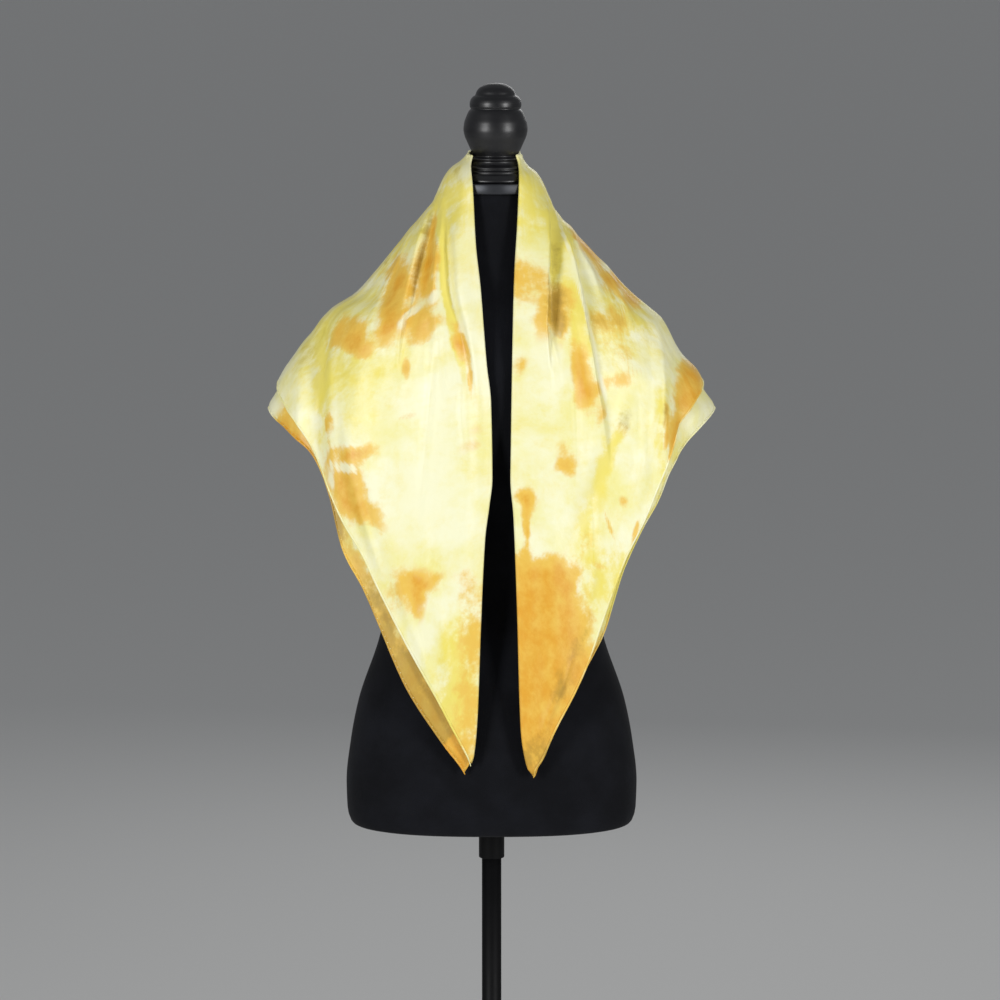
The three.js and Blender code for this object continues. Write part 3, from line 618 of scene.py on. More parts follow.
class Drape:
    """The form in which the folded scarf hangs. Every length is in millimetres."""

    PROBE_TURN = 0.6
    PROBE_HEIGHT = 1

    def __init__(self) -> None:
        """Makes the tables' curves."""
        names = ("left", "right", "front", "back", "square")
        self.section = {
            name: SmoothCurve((row.z, getattr(row, name)) for row in SECTIONS) for name in names
        }
        self.throat = SmoothCurve(THROAT)
        self.fold_edge = {side: SmoothCurve(rows) for side, rows in FOLD_EDGE.items()}
        self.pleats_start, self.pleats_end = (
            {side: SmoothCurve((row[0], row[i]) for row in rows) for side, rows in PLEATED.items()}
            for i in (1, 2)
        )
        self.upper = {side: SmoothCurve((r.turn, r.upper) for r in rows) for side, rows in HEM.items()}
        self.under = {side: SmoothCurve((r.turn, r.under) for r in rows) for side, rows in HEM.items()}
        self.creases = {
            (side, front): [
                Crease(fold)
                for fold in FOLDS
                if fold.side is side and fold.face is not (Face.BACK if front else Face.FRONT)
            ]
            for side in Side
            for front in (True, False)
        }

    def width(self, z: float) -> tuple[float, float]:
        """Returns the x of the drape's middle and its half-width at a height."""
        left, right = self.section["left"](z), self.section["right"](z)
        return (right - left) / 2, (left + right) / 2

    def smooth_point(self, side: Side, turn: float, z: float) -> Vector:
        """Finds the drape's point before its folds.

        Args:
            side: The side of the body.
            turn: Runs from the front fold edge (0) by the shoulder (90) to the middle of the back (180).
            z: The height.

        Returns:
            The point on the smooth outer face.
        """
        middle, half = self.width(z)
        power = 2 / self.section["square"](z)
        angle = math.radians(turn)
        if turn < 90:
            reach = (self.fold_edge[side](z) - middle) * side.value / half
            edge = math.asin(powered(reach, 1 / power))
            angle = edge + (math.pi / 2 - edge) * turn / 90
        depth = self.section["front" if turn < 90 else "back"](z)
        across = side.value * half * powered(math.sin(angle), power)
        return Vector((middle + across, -depth * powered(math.cos(angle), power), z))

    def rising(self, side: Side, turn: float, z: float) -> Vector:
        """Returns the step up the smooth face from just below a place to just above it."""
        step = self.PROBE_HEIGHT
        return self.smooth_point(side, turn, z + step) - self.smooth_point(side, turn, z - step)

    def outward(self, side: Side, turn: float, z: float) -> Vector:
        """Finds the direction straight out of the drape.

        Args:
            side: The side of the body.
            turn: The turn round it, as for smooth_point.
            z: The height.

        Returns:
            A direction of length 1.
        """
        step = self.PROBE_TURN
        across = self.smooth_point(side, turn + step, z) - self.smooth_point(side, turn - step, z)
        return (across.cross(self.rising(side, turn, z)) * side.value).normalized()

    def lift_at(self, side: Side, point: Vector) -> tuple[float, float]:
        """Finds what the folds do to the cloth.

        Args:
            side: The side of the body.
            point: A point of the smooth face.

        Returns:
            How far they lift it there, and how far they lean it to the side.
        """
        out = point.x * side.value
        creases = self.creases[side, point.y < 0]
        lifts = [(crease.lift(out, point.z), crease.fold.over) for crease in creases]
        return sum(lift for lift, _ in lifts), sum(lift * over for lift, over in lifts)

    def point(self, side: Side, turn: float, z: float, depth: float = 0) -> Vector:
        """Finds the folded cloth's point.

        Args:
            side: The side of the body.
            turn: The turn round it, as for smooth_point.
            z: The height.
            depth: How far inside the outer face the point lies.

        Returns:
            The point.
        """
        smooth = self.smooth_point(side, turn, z)
        out = self.outward(side, turn, z)
        lift, lean = self.lift_at(side, smooth)
        to_side = Vector((0, 0, 1)).cross(out).normalized() * (side.value if smooth.y < 0 else -side.value)
        return smooth + out * (lift - depth) + to_side * lean


def finished(
    name: str, mesh: bmesh.types.BMesh, material: bpy.types.Material, smooth: bool = True
) -> bpy.types.Object:
    """Turns a bmesh in millimetres into a piece in metres.

    Args:
        name: The piece's name.
        mesh: Its bmesh, which is freed.
        material: Its material.
        smooth: Whether its faces are shaded smooth.

    Returns:
        The new object, linked to the scene.
    """
    bmesh.ops.scale(mesh, vec=(MM, MM, MM), verts=mesh.verts)
    data = bpy.data.meshes.new(name)
    for face in mesh.faces:
        face.smooth = smooth
    mesh.to_mesh(data)
    mesh.free()
    data.materials.append(material)
    piece = bpy.data.objects.new(name, data)
    bpy.context.scene.collection.objects.link(piece)
    return piece


def dressed(piece: bpy.types.Object, slot: str, *nodes: str) -> bpy.types.Object:
    """Puts a piece on the frame's body and hides the CAD nodes that it stands for.

    Args:
        piece: The piece, which then rides on the body.
        slot: Not used.
        nodes: The CAD nodes that it stands for, which are hidden.

    Returns:
        The same piece.
    """
    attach(piece, BODY)
    if nodes:
        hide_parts(*nodes)
    log.info("%s: %d faces", piece.name, len(piece.data.polygons))
    return piece


def mapped_grid(columns: int, rows: int, place: Callable[[int, int], Vector]) -> bmesh.types.BMesh:
    """Makes a grid and moves each of its points to where the sheet has it.

    Args:
        columns: The number of faces across.
        rows: The number of faces down.
        place: Gives the point at a column and a row.

    Returns:
        The bmesh, with each vertex indexed by column + row * (columns + 1).
    """
    mesh = bmesh.new()
    half = 0.5
    bmesh.ops.create_grid(mesh, x_segments=columns, y_segments=rows, size=half)
    for vertex in mesh.verts:
        column = round((vertex.co.x + half) * columns)
        row = round((vertex.co.y + half) * rows)
        vertex.index = column + row * (columns + 1)
        vertex.co = place(column, row)
    mesh.verts.sort()
    return mesh


def sealed(mesh: bmesh.types.BMesh, sides: int) -> bmesh.types.BMesh:
    """Makes a mesh a closed form with its faces outwards.

    Args:
        mesh: A mesh whose edges meet, or end in holes.
        sides: The most sides that a hole has.

    Returns:
        The same mesh.
    """
    bmesh.ops.remove_doubles(mesh, verts=mesh.verts, dist=WELD)
    bmesh.ops.holes_fill(mesh, edges=mesh.edges, sides=sides)
    bmesh.ops.recalc_face_normals(mesh, faces=mesh.faces)
    return mesh


def tube_along(
    line: Sequence[Vector], outs: Sequence[Vector], radii: Sequence[float], around: int
) -> bmesh.types.BMesh:
    """Makes a closed tube along a line.

    Args:
        line: The points of its middle.
        outs: The direction out of the cloth at each point.
        radii: Its radius at each point.
        around: The number of faces round it.

    Returns:
        The bmesh of the tube, closed at both ends.
    """
    last = len(line) - 1
    alongs = [(line[min(i + 1, last)] - line[max(i - 1, 0)]).normalized() for i in range(last + 1)]

    def place(column: int, row: int) -> Vector:
        """Returns the point of the tube at a step along and a step round."""
        angle = 2 * math.pi * row / around
        out = outs[column]
        side = alongs[column].cross(out).normalized()
        return line[column] + (out * math.cos(angle) + side * math.sin(angle)) * radii[column]

    return sealed(mapped_grid(last, around, place), around)


def turned_mesh(profile: Sequence[tuple[float, float]], steps: int, x: float = 0) -> bmesh.types.BMesh:
    """Spins a profile of (height, radius) pairs round the vertical axis at x.

    Args:
        profile: The outline. It may start and end off the axis, and is then closed by flat faces.
        steps: The number of faces round.
        x: Where the axis stands.

    Returns:
        The bmesh of the closed turned piece.
    """
    mesh = bmesh.new()
    verts = [mesh.verts.new((radius, 0, z)) for z, radius in profile]
    edges = [mesh.edges.new(pair) for pair in zip(verts, verts[1:])]
    whole = 2 * math.pi
    bmesh.ops.spin(
        mesh, geom=[*verts, *edges], cent=(0, 0, 0), axis=(0, 0, 1), angle=whole, steps=steps, use_merge=True
    )
    sealed(mesh, steps)
    bmesh.ops.translate(mesh, vec=(x, 0, 0), verts=mesh.verts)
    return mesh


def map_cut(mesh: bmesh.types.BMesh, place: Callable[[bmesh.types.BMVert], tuple[float, float]]) -> None:
    """Writes where each vertex lies on the flat cloth as the mesh's UV map.

    Args:
        mesh: The mesh.
        place: Gives a vertex's place on the cloth, in metres.
    """
    layer = mesh.loops.layers.uv.new("cut")
    for face in mesh.faces:
        for loop in face.loops:
            loop[layer].uv = place(loop.vert)


def seen_place(vertex: bmesh.types.BMVert) -> tuple[float, float]:
    """Returns a vertex's place as seen from the front, in metres, which stands in for the cut on a hem."""
    return vertex.co.x * MM, vertex.co.z * MM


class Grain(NamedTuple):
    """How fine a noise is: its scale, its octaves and how rough they are."""

    scale: float
    detail: float
    rough: float


class Relief(NamedTuple):
    """How much a pattern raises a surface: its strength, and its height in metres."""

    strength: float
    height: float


class Graph:
    """A material's node tree, with short ways to add to it."""

    def __init__(self, tree: bpy.types.NodeTree) -> None:
        """Keeps the tree."""
        self.tree = tree

    def add(self, kind: str, inputs: dict[str, object] | None = None, **settings: object) -> bpy.types.Node:
        """Adds a node.

        Args:
            kind: The node's type.
            inputs: What some of its inputs hold, by name.
            settings: The node's own settings.

        Returns:
            The node.
        """
        node = self.tree.nodes.new(kind)
        for name, value in settings.items():
            setattr(node, name, value)
        for name, value in (inputs or {}).items():
            node.inputs[name].default_value = value
        return node

    def link(self, source: Socket, target: Socket) -> None:
        """Joins two sockets."""
        self.tree.links.new(source, target)

    def feed(self, value: Socket | Colour | float, target: Socket) -> None:
        """Gives an input what it reads.

        Args:
            value: A socket to link, or a colour or number to hold.
            target: The input.
        """
        if isinstance(value, Socket):
            self.link(value, target)
        elif isinstance(value, tuple):
            target.default_value = (*value, 1)
        else:
            target.default_value = value

    def calculate(self, operation: str, *values: Socket | float) -> Socket:
        """Works out a number from others.

        Args:
            operation: The name of a Math node's operation.
            values: What it works on, in order.

        Returns:
            The socket of the result.
        """
        node = self.add("ShaderNodeMath", operation=operation)
        for value, target in zip(values, node.inputs):
            self.feed(value, target)
        return node.outputs[0]

    def scaled(self, value: Socket, gain: float, offset: float = 0) -> Socket:
        """Returns gain * value + offset."""
        return self.calculate("MULTIPLY_ADD", value, gain, offset)

    def total(self, first: Socket, second: Socket) -> Socket:
        """Returns first + second."""
        return self.calculate("ADD", first, second)

    def product(self, first: Socket, second: Socket) -> Socket:
        """Returns first * second."""
        return self.calculate("MULTIPLY", first, second)

    def mix(self, share: Socket, first: Socket | Colour, second: Socket | Colour) -> Socket:
        """Mixes two colours.

        Args:
            share: How much of the second colour there is, from 0 to 1.
            first: The first colour.
            second: The second colour.

        Returns:
            The mixed colour.
        """
        node = self.add("ShaderNodeMix", data_type="RGBA")
        for value, place in ((share, 0), (first, 6), (second, 7)):
            self.feed(value, node.inputs[place])
        return node.outputs[2]

    def noise(self, vector: Socket, grain: Grain) -> Socket:
        """Makes a noise.

        Args:
            vector: The coordinates that it reads.
            grain: How fine it is.

        Returns:
            Its value, about 0.5 on average.
        """
        inputs = {"Scale": grain.scale, "Detail": grain.detail, "Roughness": grain.rough}
        node = self.add("ShaderNodeTexNoise", inputs)
        self.link(vector, node.inputs["Vector"])
        return node.outputs["Fac"]

    def fan(self, cut: Socket, round_scale: float, down_scale: float) -> Socket:
        """Makes coordinates that fan out from the throat, for streaks that run down the cloth.

        Args:
            cut: The place on the flat cloth, from the throat.
            round_scale: How quickly they run round the throat.
            down_scale: How quickly they run away from it.

        Returns:
            The coordinates.
        """
        parts = self.add("ShaderNodeSeparateXYZ")
        self.link(cut, parts.inputs["Vector"])
        turn = self.calculate("ARCTAN2", parts.outputs["Y"], parts.outputs["X"])
        down = self.add("ShaderNodeVectorMath", operation="LENGTH")
        self.link(cut, down.inputs[0])
        joined = self.add("ShaderNodeCombineXYZ")
        self.link(self.scaled(turn, round_scale), joined.inputs["X"])
        self.link(self.scaled(down.outputs["Value"], down_scale), joined.inputs["Y"])
        return joined.outputs["Vector"]

    def ramp(self, value: Socket, span: Span, result: Span = (0, 1)) -> Socket:
        """Maps a value smoothly, with no overshoot.

        Args:
            value: The value.
            span: The two values between which it counts.
            result: What they become.

        Returns:
            The mapped value.
        """
        node = self.add("ShaderNodeMapRange", interpolation_type="SMOOTHSTEP")
        for item, target in zip((value, *span, *result), node.inputs):
            self.feed(item, target)
        return node.outputs[0]

    def bump(self, height: Socket, relief: Relief, under: Socket | None = None) -> Socket:
        """Raises the surface by a pattern.

        Args:
            height: The pattern.
            relief: How much it raises the surface.
            under: The normal of the relief that it lies on, if there is one.

        Returns:
            The normal.
        """
        node = self.add("ShaderNodeBump", {"Strength": relief.strength, "Distance": relief.height})
        self.link(height, node.inputs["Height"])
        if under is not None:
            self.link(under, node.inputs["Normal"])
        return node.outputs["Normal"]


def new_material(name: str, inputs: dict[str, object]) -> tuple[bpy.types.Material, Graph, bpy.types.Node]:
    """Makes a material of one Principled BSDF.

    Args:
        name: The material's name.
        inputs: What is the same all over the surface, by the name of the shader's input.

    Returns:
        The material, its graph and its shader.
    """
    material = bpy.data.materials.new(name)
    material.use_nodes = True
    tree = material.node_tree
    tree.nodes.clear()
    graph = Graph(tree)
    shader = graph.add("ShaderNodeBsdfPrincipled", inputs)
    output = graph.add("ShaderNodeOutputMaterial")
    graph.link(shader.outputs["BSDF"], output.inputs["Surface"])
    return material, graph, shader


def paler(colour: Colour, gain: float) -> Colour:
    """Returns a colour with each part multiplied by gain."""
    return tuple(gain * part for part in colour)


@dataclass(frozen=True)
class SilkFinish:
    """Hand-dyed satin silk: pale lemon with golden, lemon, olive and cream patches.

    A patch's soft mask is torn by two noises, ragged on the cut and brushed along the fan from the
    throat, the less so the deeper the dye. The bare silk between is mottled, clouded and streaked.
    Some lemon and olive patches are painted shade, in valleys, along creases and on the wings, and
    three cream strokes are painted highlights on the crest of the right second pleat.
    """

    pale: Colour = (0.79, 0.75, 0.32)
    # Paler silk and cream dye, which is also the painted highlight on the right second pleat's crest.
    light: Colour = (0.83, 0.82, 0.56)
    # Lemon dye, which is also the saturated yellow painted into shaded valleys and onto the wings.
    lemon: Colour = (0.77, 0.65, 0.085)
    gold: Colour = (0.76, 0.49, 0.075)
    deep: Colour = (0.70, 0.34, 0.022)
    # Olive-brown dye, which is also the painted shadow along creases and the painted shade in the right
    # valley.
    olive: Colour = (0.33, 0.23, 0.035)
    lemon_and_shade_share: float = 0.85
    olive_and_shade_share: float = 0.6
    cream_and_highlight_share: float = 0.85
    ragged: Grain = Grain(48, 6, 0.66)
    ragged_gain: float = 3.6
    brushed: Grain = Grain(80, 5, 0.65)
    brushed_gain: float = 3.2
    deep_calm: float = 0.8
    soft_span: Span = (0.2, 0.7)
    deep_span: Span = (0.62, 1.2)
    mottle: Grain = Grain(13, 6, 0.62)
    mottle_span: Span = (0.36, 0.64)
    cloud: Grain = Grain(21, 5, 0.7)
    cloud_span: Span = (0.48, 0.8)
    cloud_share: float = 0.5
    streak: Grain = Grain(60, 8, 0.75)
    streak_span: Span = (0.46, 0.75)
    streak_share: float = 0.4
    round_scale: float = 0.35
    down_scale: float = 0.3
    gloss: Grain = Grain(40, 4, 0.6)
    gloss_span: Span = (0.3, 0.7)
    roughness: Span = (0.37, 0.48)
    sheen: float = 0.05
    sheen_roughness: float = 0.35
    crinkle: Grain = Grain(50, 5, 0.6)
    pull: Grain = Grain(45, 3, 0.5)
    pull_gain: float = 1.2
    crinkle_relief: Relief = Relief(0.45, 0.0016)
    weave_scale: float = 900
    weave_relief: Relief = Relief(0.08, 0.0002)

    def dye_group(self) -> bpy.types.NodeTree:
        """Builds the group that turns one soft mask, of dye or of painted shade or highlight, into ragged
        patches, as dye creeps in silk.

        Returns:
            The group, which puts out the patches and their deeper middles.
        """
        group = bpy.data.node_groups.new("dye_creep", "ShaderNodeTree")
        sockets = (
            ("Mask", "INPUT", "NodeSocketFloat"),
            ("Cut", "INPUT", "NodeSocketVector"),
            ("Fan", "INPUT", "NodeSocketVector"),
            ("Soft", "OUTPUT", "NodeSocketFloat"),
            ("Deep", "OUTPUT", "NodeSocketFloat"),
        )
        for name, way, kind in sockets:
            group.interface.new_socket(name, in_out=way, socket_type=kind)
        graph = Graph(group)
        start, end = graph.add("NodeGroupInput"), graph.add("NodeGroupOutput")
        mask = start.outputs["Mask"]
        ragged = graph.noise(start.outputs["Cut"], self.ragged)
        brushed = graph.noise(start.outputs["Fan"], self.brushed)
        centre = -(self.ragged_gain + self.brushed_gain) / 2
        streaked = graph.scaled(brushed, self.brushed_gain, centre)
        torn = graph.total(graph.scaled(ragged, self.ragged_gain), streaked)
        shallow = graph.product(mask, graph.scaled(mask, -self.deep_calm, 1))
        crept = graph.total(mask, graph.product(shallow, torn))
        middles = graph.product(mask, graph.total(ragged, brushed))
        graph.link(graph.ramp(crept, self.soft_span), end.inputs["Soft"])
        graph.link(graph.ramp(middles, self.deep_span), end.inputs["Deep"])
        return group

    def dyed(self, graph: Graph, cut: Socket, fan: Socket) -> tuple[dict[Dye, Socket], dict[Dye, Socket]]:
        """Puts each dye's patches on the cloth, with the painted shade and highlights among them.

        Args:
            graph: The silk's graph.
            cut: The place on the flat cloth.
            fan: The coordinates that fan out from the throat.

        Returns:
            The patches and their deeper middles, by dye.
        """
        group = self.dye_group()
        soft, deep = {}, {}
        for dye in Dye:
            mask = graph.add("ShaderNodeAttribute", attribute_type="GEOMETRY", attribute_name=dye.value)
            node = graph.add("ShaderNodeGroup", node_tree=group)
            graph.link(mask.outputs["Fac"], node.inputs["Mask"])
            graph.link(cut, node.inputs["Cut"])
            graph.link(fan, node.inputs["Fan"])
            soft[dye], deep[dye] = node.outputs["Soft"], node.outputs["Deep"]
        return soft, deep

    def material(self) -> bpy.types.Material:
        """Builds the silk's material."""
        inputs = {"Sheen Weight": self.sheen, "Sheen Roughness": self.sheen_roughness}
        material, graph, shader = new_material("dyed_and_shaded_silk", inputs)
        cut = graph.add("ShaderNodeUVMap", uv_map="cut").outputs["UV"]
        fan = graph.fan(cut, self.round_scale, self.down_scale)
        soft, deep = self.dyed(graph, cut, fan)
        mottle = graph.ramp(graph.noise(cut, self.mottle), self.mottle_span)
        clouds = graph.ramp(graph.noise(cut, self.cloud), self.cloud_span, (0, self.cloud_share))
        streaks = graph.ramp(graph.noise(fan, self.streak), self.streak_span, (0, self.streak_share))
        # Layers over the mottled ground: the lemon and olive layers also paint shade, and the cream layer
        # also paints highlights.
        layers = (
            (clouds, self.lemon),
            (streaks, self.lemon),
            (graph.scaled(soft[Dye.LEMON_AND_SHADE], self.lemon_and_shade_share), self.lemon),
            (soft[Dye.GOLD], self.gold),
            (graph.product(deep[Dye.GOLD], soft[Dye.GOLD]), self.deep),
            (graph.scaled(soft[Dye.OLIVE_AND_SHADE], self.olive_and_shade_share), self.olive),
            (graph.scaled(soft[Dye.CREAM_AND_HIGHLIGHT], self.cream_and_highlight_share), self.light),
        )
        colour = graph.mix(mottle, self.pale, self.light)
        for share, dye_colour in layers:
            colour = graph.mix(share, colour, dye_colour)
        graph.link(colour, shader.inputs["Base Color"])
        gloss = graph.ramp(graph.noise(cut, self.gloss), self.gloss_span, self.roughness)
        graph.link(gloss, shader.inputs["Roughness"])
        pulls = graph.scaled(graph.noise(fan, self.pull), self.pull_gain)
        crinkled = graph.bump(graph.total(graph.noise(cut, self.crinkle), pulls), self.crinkle_relief)
        weave = graph.add(
            "ShaderNodeTexWave", {"Scale": self.weave_scale}, wave_type="BANDS", bands_direction="DIAGONAL"
        )
        graph.link(cut, weave.inputs["Vector"])
        graph.link(graph.bump(weave.outputs["Fac"], self.weave_relief, crinkled), shader.inputs["Normal"])
        return material


@dataclass(frozen=True)
class CoverFinish:
    """The torso's close-napped black cover."""

    colour: Colour = (0.0035, 0.0038, 0.0052)
    worn_gain: float = 1.9
    worn: Grain = Grain(14, 4, 0.6)
    worn_span: Span = (0.35, 0.75)
    roughness: float = 0.95
    specular: float = 0.12
    sheen: float = 0.025
    sheen_roughness: float = 0.5
    nap: Grain = Grain(900, 3, 0.6)
    nap_relief: Relief = Relief(0.5, 0.0006)

    def material(self) -> bpy.types.Material:
        """Builds the cover's material."""
        material, graph, shader = new_material("black_cover", {
            "Roughness": self.roughness,
            "Specular IOR Level": self.specular,
            "Sheen Weight": self.sheen,
            "Sheen Roughness": self.sheen_roughness,
        })
        place = graph.add("ShaderNodeTexCoord").outputs["Object"]
        worn = graph.ramp(graph.noise(place, self.worn), self.worn_span)
        colour = graph.mix(worn, self.colour, paler(self.colour, self.worn_gain))
        graph.link(colour, shader.inputs["Base Color"])
        graph.link(graph.bump(graph.noise(place, self.nap), self.nap_relief), shader.inputs["Normal"])
        return material


@dataclass(frozen=True)
class PaintFinish:
    """Satin paint on wood or steel."""

    name: str
    colour: Colour
    roughness: float
    metallic: float = 0
    specular: float = 0.5
    grime_gain: float = 1.35
    grime: Grain = Grain(30, 5, 0.6)
    grime_span: Span = (0.4, 0.8)
    gloss: Grain = Grain(55, 4, 0.6)
    gloss_span: Span = (0.3, 0.7)
    smoother: float = 0.03
    rougher: float = 0.05
    skin: Grain = Grain(260, 3, 0.5)
    skin_relief: Relief = Relief(0.12, 0.0002)

    def material(self) -> bpy.types.Material:
        """Builds the paint's material."""
        inputs = {"Metallic": self.metallic, "Specular IOR Level": self.specular}
        material, graph, shader = new_material(self.name, inputs)
        place = graph.add("ShaderNodeTexCoord").outputs["Object"]
        grime = graph.ramp(graph.noise(place, self.grime), self.grime_span)
        colour = graph.mix(grime, self.colour, paler(self.colour, self.grime_gain))
        graph.link(colour, shader.inputs["Base Color"])
        roughness = (self.roughness - self.smoother, self.roughness + self.rougher)
        gloss = graph.ramp(graph.noise(place, self.gloss), self.gloss_span, roughness)
        graph.link(gloss, shader.inputs["Roughness"])
        graph.link(graph.bump(graph.noise(place, self.skin), self.skin_relief), shader.inputs["Normal"])
        return material


class Strand(NamedTuple):
    """A column of the sheet: its share of the front or back, and how far past a fold edge it lies.

    past runs to 1 round the fold, and to 2 along the tail beyond it.
    """

    side: Side
    back: bool
    share: float
    past: float = 0


class Ripple(NamedTuple):
    """A slow unevenness of hung silk: its size in degrees of turn and in height, its seed and its rise."""

    turn: float
    height: float
    seed: float
    rise: float

    def at(self, side: Side, turn: float, z: float) -> float:
        """Returns how far it lifts the cloth there."""
        round_body = side.value * (180 - turn)
        return self.rise * noise.noise(Vector((round_body / self.turn, z / self.height, self.seed)))


class Creep(NamedTuple):
    """How dye creeps aside in the cloth: the size of its swirls, how far it goes, and a seed."""

    size: float
    reach: float
    seed: tuple[float, float, float]

    def at(self, place: Vector) -> Vector:
        """Returns how far the dye has crept there."""
        return noise.noise_vector(place / self.size + Vector(self.seed)) * self.reach


@dataclass
class Scarf:
    """The folded square: its upper ply, its under ply, their rolled hems and stitches.

    Lengths are in millimetres. A fold's radius is given at two heights, and shrinks between them.
    """

    drape: Drape
    silk: bpy.types.Material
    square: float = 1100
    cloth: float = 0.45
    fold_radius: tuple[tuple[float, float], ...] = ((1440, 2.4), (1484, 1.5))
    fold_steps: int = 8
    tail: float = 9
    tail_steps: int = 3
    tail_fade: float = 60
    least_tail: float = 0.1
    tail_lean: float = 0.14
    upper_columns: tuple[int, int] = (100, 54)
    upper_rows: int = 126
    under_columns: tuple[int, int] = (80, 44)
    under_rows: int = 90
    before_pleats: float = 0.1
    after_pleats: float = 0.3
    widest_edge: float = 30
    row_gather: float = 1.12
    hem_height: float = 1300
    half_fold_at_throat: float = 118
    cut_slack: float = 1.1
    over_length: float = 6
    ripples: tuple[Ripple, ...] = (Ripple(9, 90, 3.1, 1.1), Ripple(3.2, 48, 7.7, 0.3))
    under_ripple: Ripple = Ripple(6, 60, 11.3, 0.5)
    calm_from: float = 1480
    calm_over: float = 140
    hem_depth: float = 5.6
    hem_reach: float = 70
    plies_pressed: float = 0.4
    wing_flare: float = 4.6
    wing_reach: float = 40
    flare_reach: float = 24
    hem_gather: float = 1.15
    hem_steps: int = 330
    hem_around: int = 8
    hem_radius: float = 1.25
    hem_wave: float = 0.16
    hem_wave_steps: float = 3.1
    hem_tip: float = 0.3
    hem_tip_steps: float = 9
    tip_turn: float = 0.7
    stitch_steps: int = 400
    stitch_gap: float = 7
    thread: float = 0.42
    stitch_length: float = 2.2
    stitch_flatness: float = 0.8
    creeps: tuple[Creep, ...] = (Creep(34, 12, (0, 0, 0)), Creep(14, 6, (7, 3, 5)))
    free_creep: float = 16
    dye_reach: float = 2.2
    dye_depth: float = 12
    dye_most: float = 0.98
    dye_fade: float = 0.7

    def radius_at(self, z: float) -> float:
        """Returns the fold's radius at a height."""
        (low, wide), (high, narrow) = self.fold_radius
        return wide + (narrow - wide) * clamped((z - low) / (high - low))

    def past_steps(self) -> list[float]:
        """Returns the columns past a fold edge, nearest first: to 1 round the fold, then beyond it."""
        rounds = [(i + 1) / self.fold_steps for i in range(self.fold_steps)]
        return rounds + [1 + (i + 1) / self.tail_steps for i in range(self.tail_steps)]

    def strands(self, columns: tuple[int, int], past: Sequence[float]) -> list[Strand]:
        """Lists a sheet's columns.

        Args:
            columns: The number on one side's front, and on its back.
            past: How far past the fold edge others lie, nearest first.

        Returns:
            The columns from the left fold edge round the back to the right one.
        """
        fronts, backs = columns

        def half(side: Side) -> list[Strand]:
            """Returns one side's columns, from past its fold edge to just before the middle of the back."""
            round_fold = [Strand(side, False, 0, distance) for distance in reversed(past)]
            front = [Strand(side, False, i / fronts) for i in range(fronts)]
            back = [Strand(side, True, i / backs) for i in range(backs)]
            return round_fold + front + back

        middle = Strand(Side.RIGHT, True, 1)
        return half(Side.LEFT) + [middle] + half(Side.RIGHT)[::-1]

    def turn_of(self, strand: Strand, z: float) -> float:
        """Finds a strand's turn. The columns gather where the pleats lie.

        Args:
            strand: The column. The first on a front starts a fold's radius in.
            z: The height.

        Returns:
            The turn, from 0 at the front fold edge to 180.
        """
        if strand.back:
            return 90 + 90 * strand.share
        side, drape = strand.side, self.drape
        spacing = (drape.smooth_point(side, 2, z) - drape.smooth_point(side, 0, z)).length / 2
        start = min(self.widest_edge, self.radius_at(z) / spacing)
        places = (0, self.before_pleats, 1 - self.after_pleats, 1)
        turns = (start, max(drape.pleats_start[side](z), start + 2), drape.pleats_end[side](z), 90)
        i = min(2, bisect_right(places, strand.share) - 1)
        share = (strand.share - places[i]) / (places[i + 1] - places[i])
        return turns[i] + (turns[i + 1] - turns[i]) * share

    def rippled(self, side: Side, turn: float, z: float) -> float:
        """Returns the small unevenness of hung silk there."""
        calm = clamped((self.calm_from - z) / self.calm_over)
        return sum(ripple.at(side, turn, z) for ripple in self.ripples) * calm

    def round_fold(
        self, base: Vector, out: Vector, on: Vector, past: float, tail: float
    ) -> tuple[Vector, Vector]:
        """Carries a point round a fold.

        Args:
            base: The point where the fold begins.
            out: The direction out of the cloth.
            on: The direction in which the cloth runs towards its fold.
            past: How far past base the point lies: to 1 round the fold, and to 2 along the tail.
            tail: The tail's length there.

        Returns:
            The point and the direction out of the cloth there.
        """
        radius = self.radius_at(base.z)
        angle = math.pi * min(past, 1)
        beyond = tail * max(past - 1, 0)
        depth = radius * (1 - math.cos(angle)) - self.tail_lean * beyond
        point = base + on * (radius * math.sin(angle) - beyond) - out * depth
        return point, out * math.cos(angle) + on * math.sin(angle)

    def upper_point(self, strand: Strand, z: float, over: float = 0) -> Vector:
        """Finds a point of the upper ply.

        Args:
            strand: Its column.
            z: Its height, or the height where the throat's fold begins.
            over: How far over the throat's fold it lies.

        Returns:
            The point on the outer face.
        """
        side, drape = strand.side, self.drape
        turn = self.turn_of(strand, z)
        out = drape.outward(side, turn, z)
        point = drape.point(side, turn, z) + out * self.rippled(side, turn, z)
        if strand.past:
            on = drape.point(side, turn - 1, z) - point
            on = (on - out * on.dot(out)).normalized()
            tail = self.tail * max(self.least_tail, clamped((z - drape.upper[side](0)) / self.tail_fade))
            point, out = self.round_fold(point, out, on, strand.past, tail)
        if over:
            up = drape.rising(side, turn, z)
            up = (up - out * up.dot(out)).normalized()
            point, _ = self.round_fold(point, out, up, over, self.tail)
        return point

    def under_depth(self, side: Side, turn: float, z: float) -> float:
        """Finds how far inside the outer face the under ply hangs. Its wings flare out below the upper hem.

        Args:
            side: The side of the body.
            turn: The turn round it.
            z: The height.

        Returns:
            The depth.
        """
        hem = self.drape.upper[side](turn)
        near_fold = 2 * self.radius_at(z) - self.plies_pressed
        near_hem = clamped((hem + self.hem_reach - z) / self.hem_reach)
        wing = max(0, 1 - abs(turn - 90) / self.wing_reach)
        flare = self.wing_flare * wing * clamped((hem - z) / self.flare_reach)
        return near_fold + (self.hem_depth - near_fold) * near_hem - flare

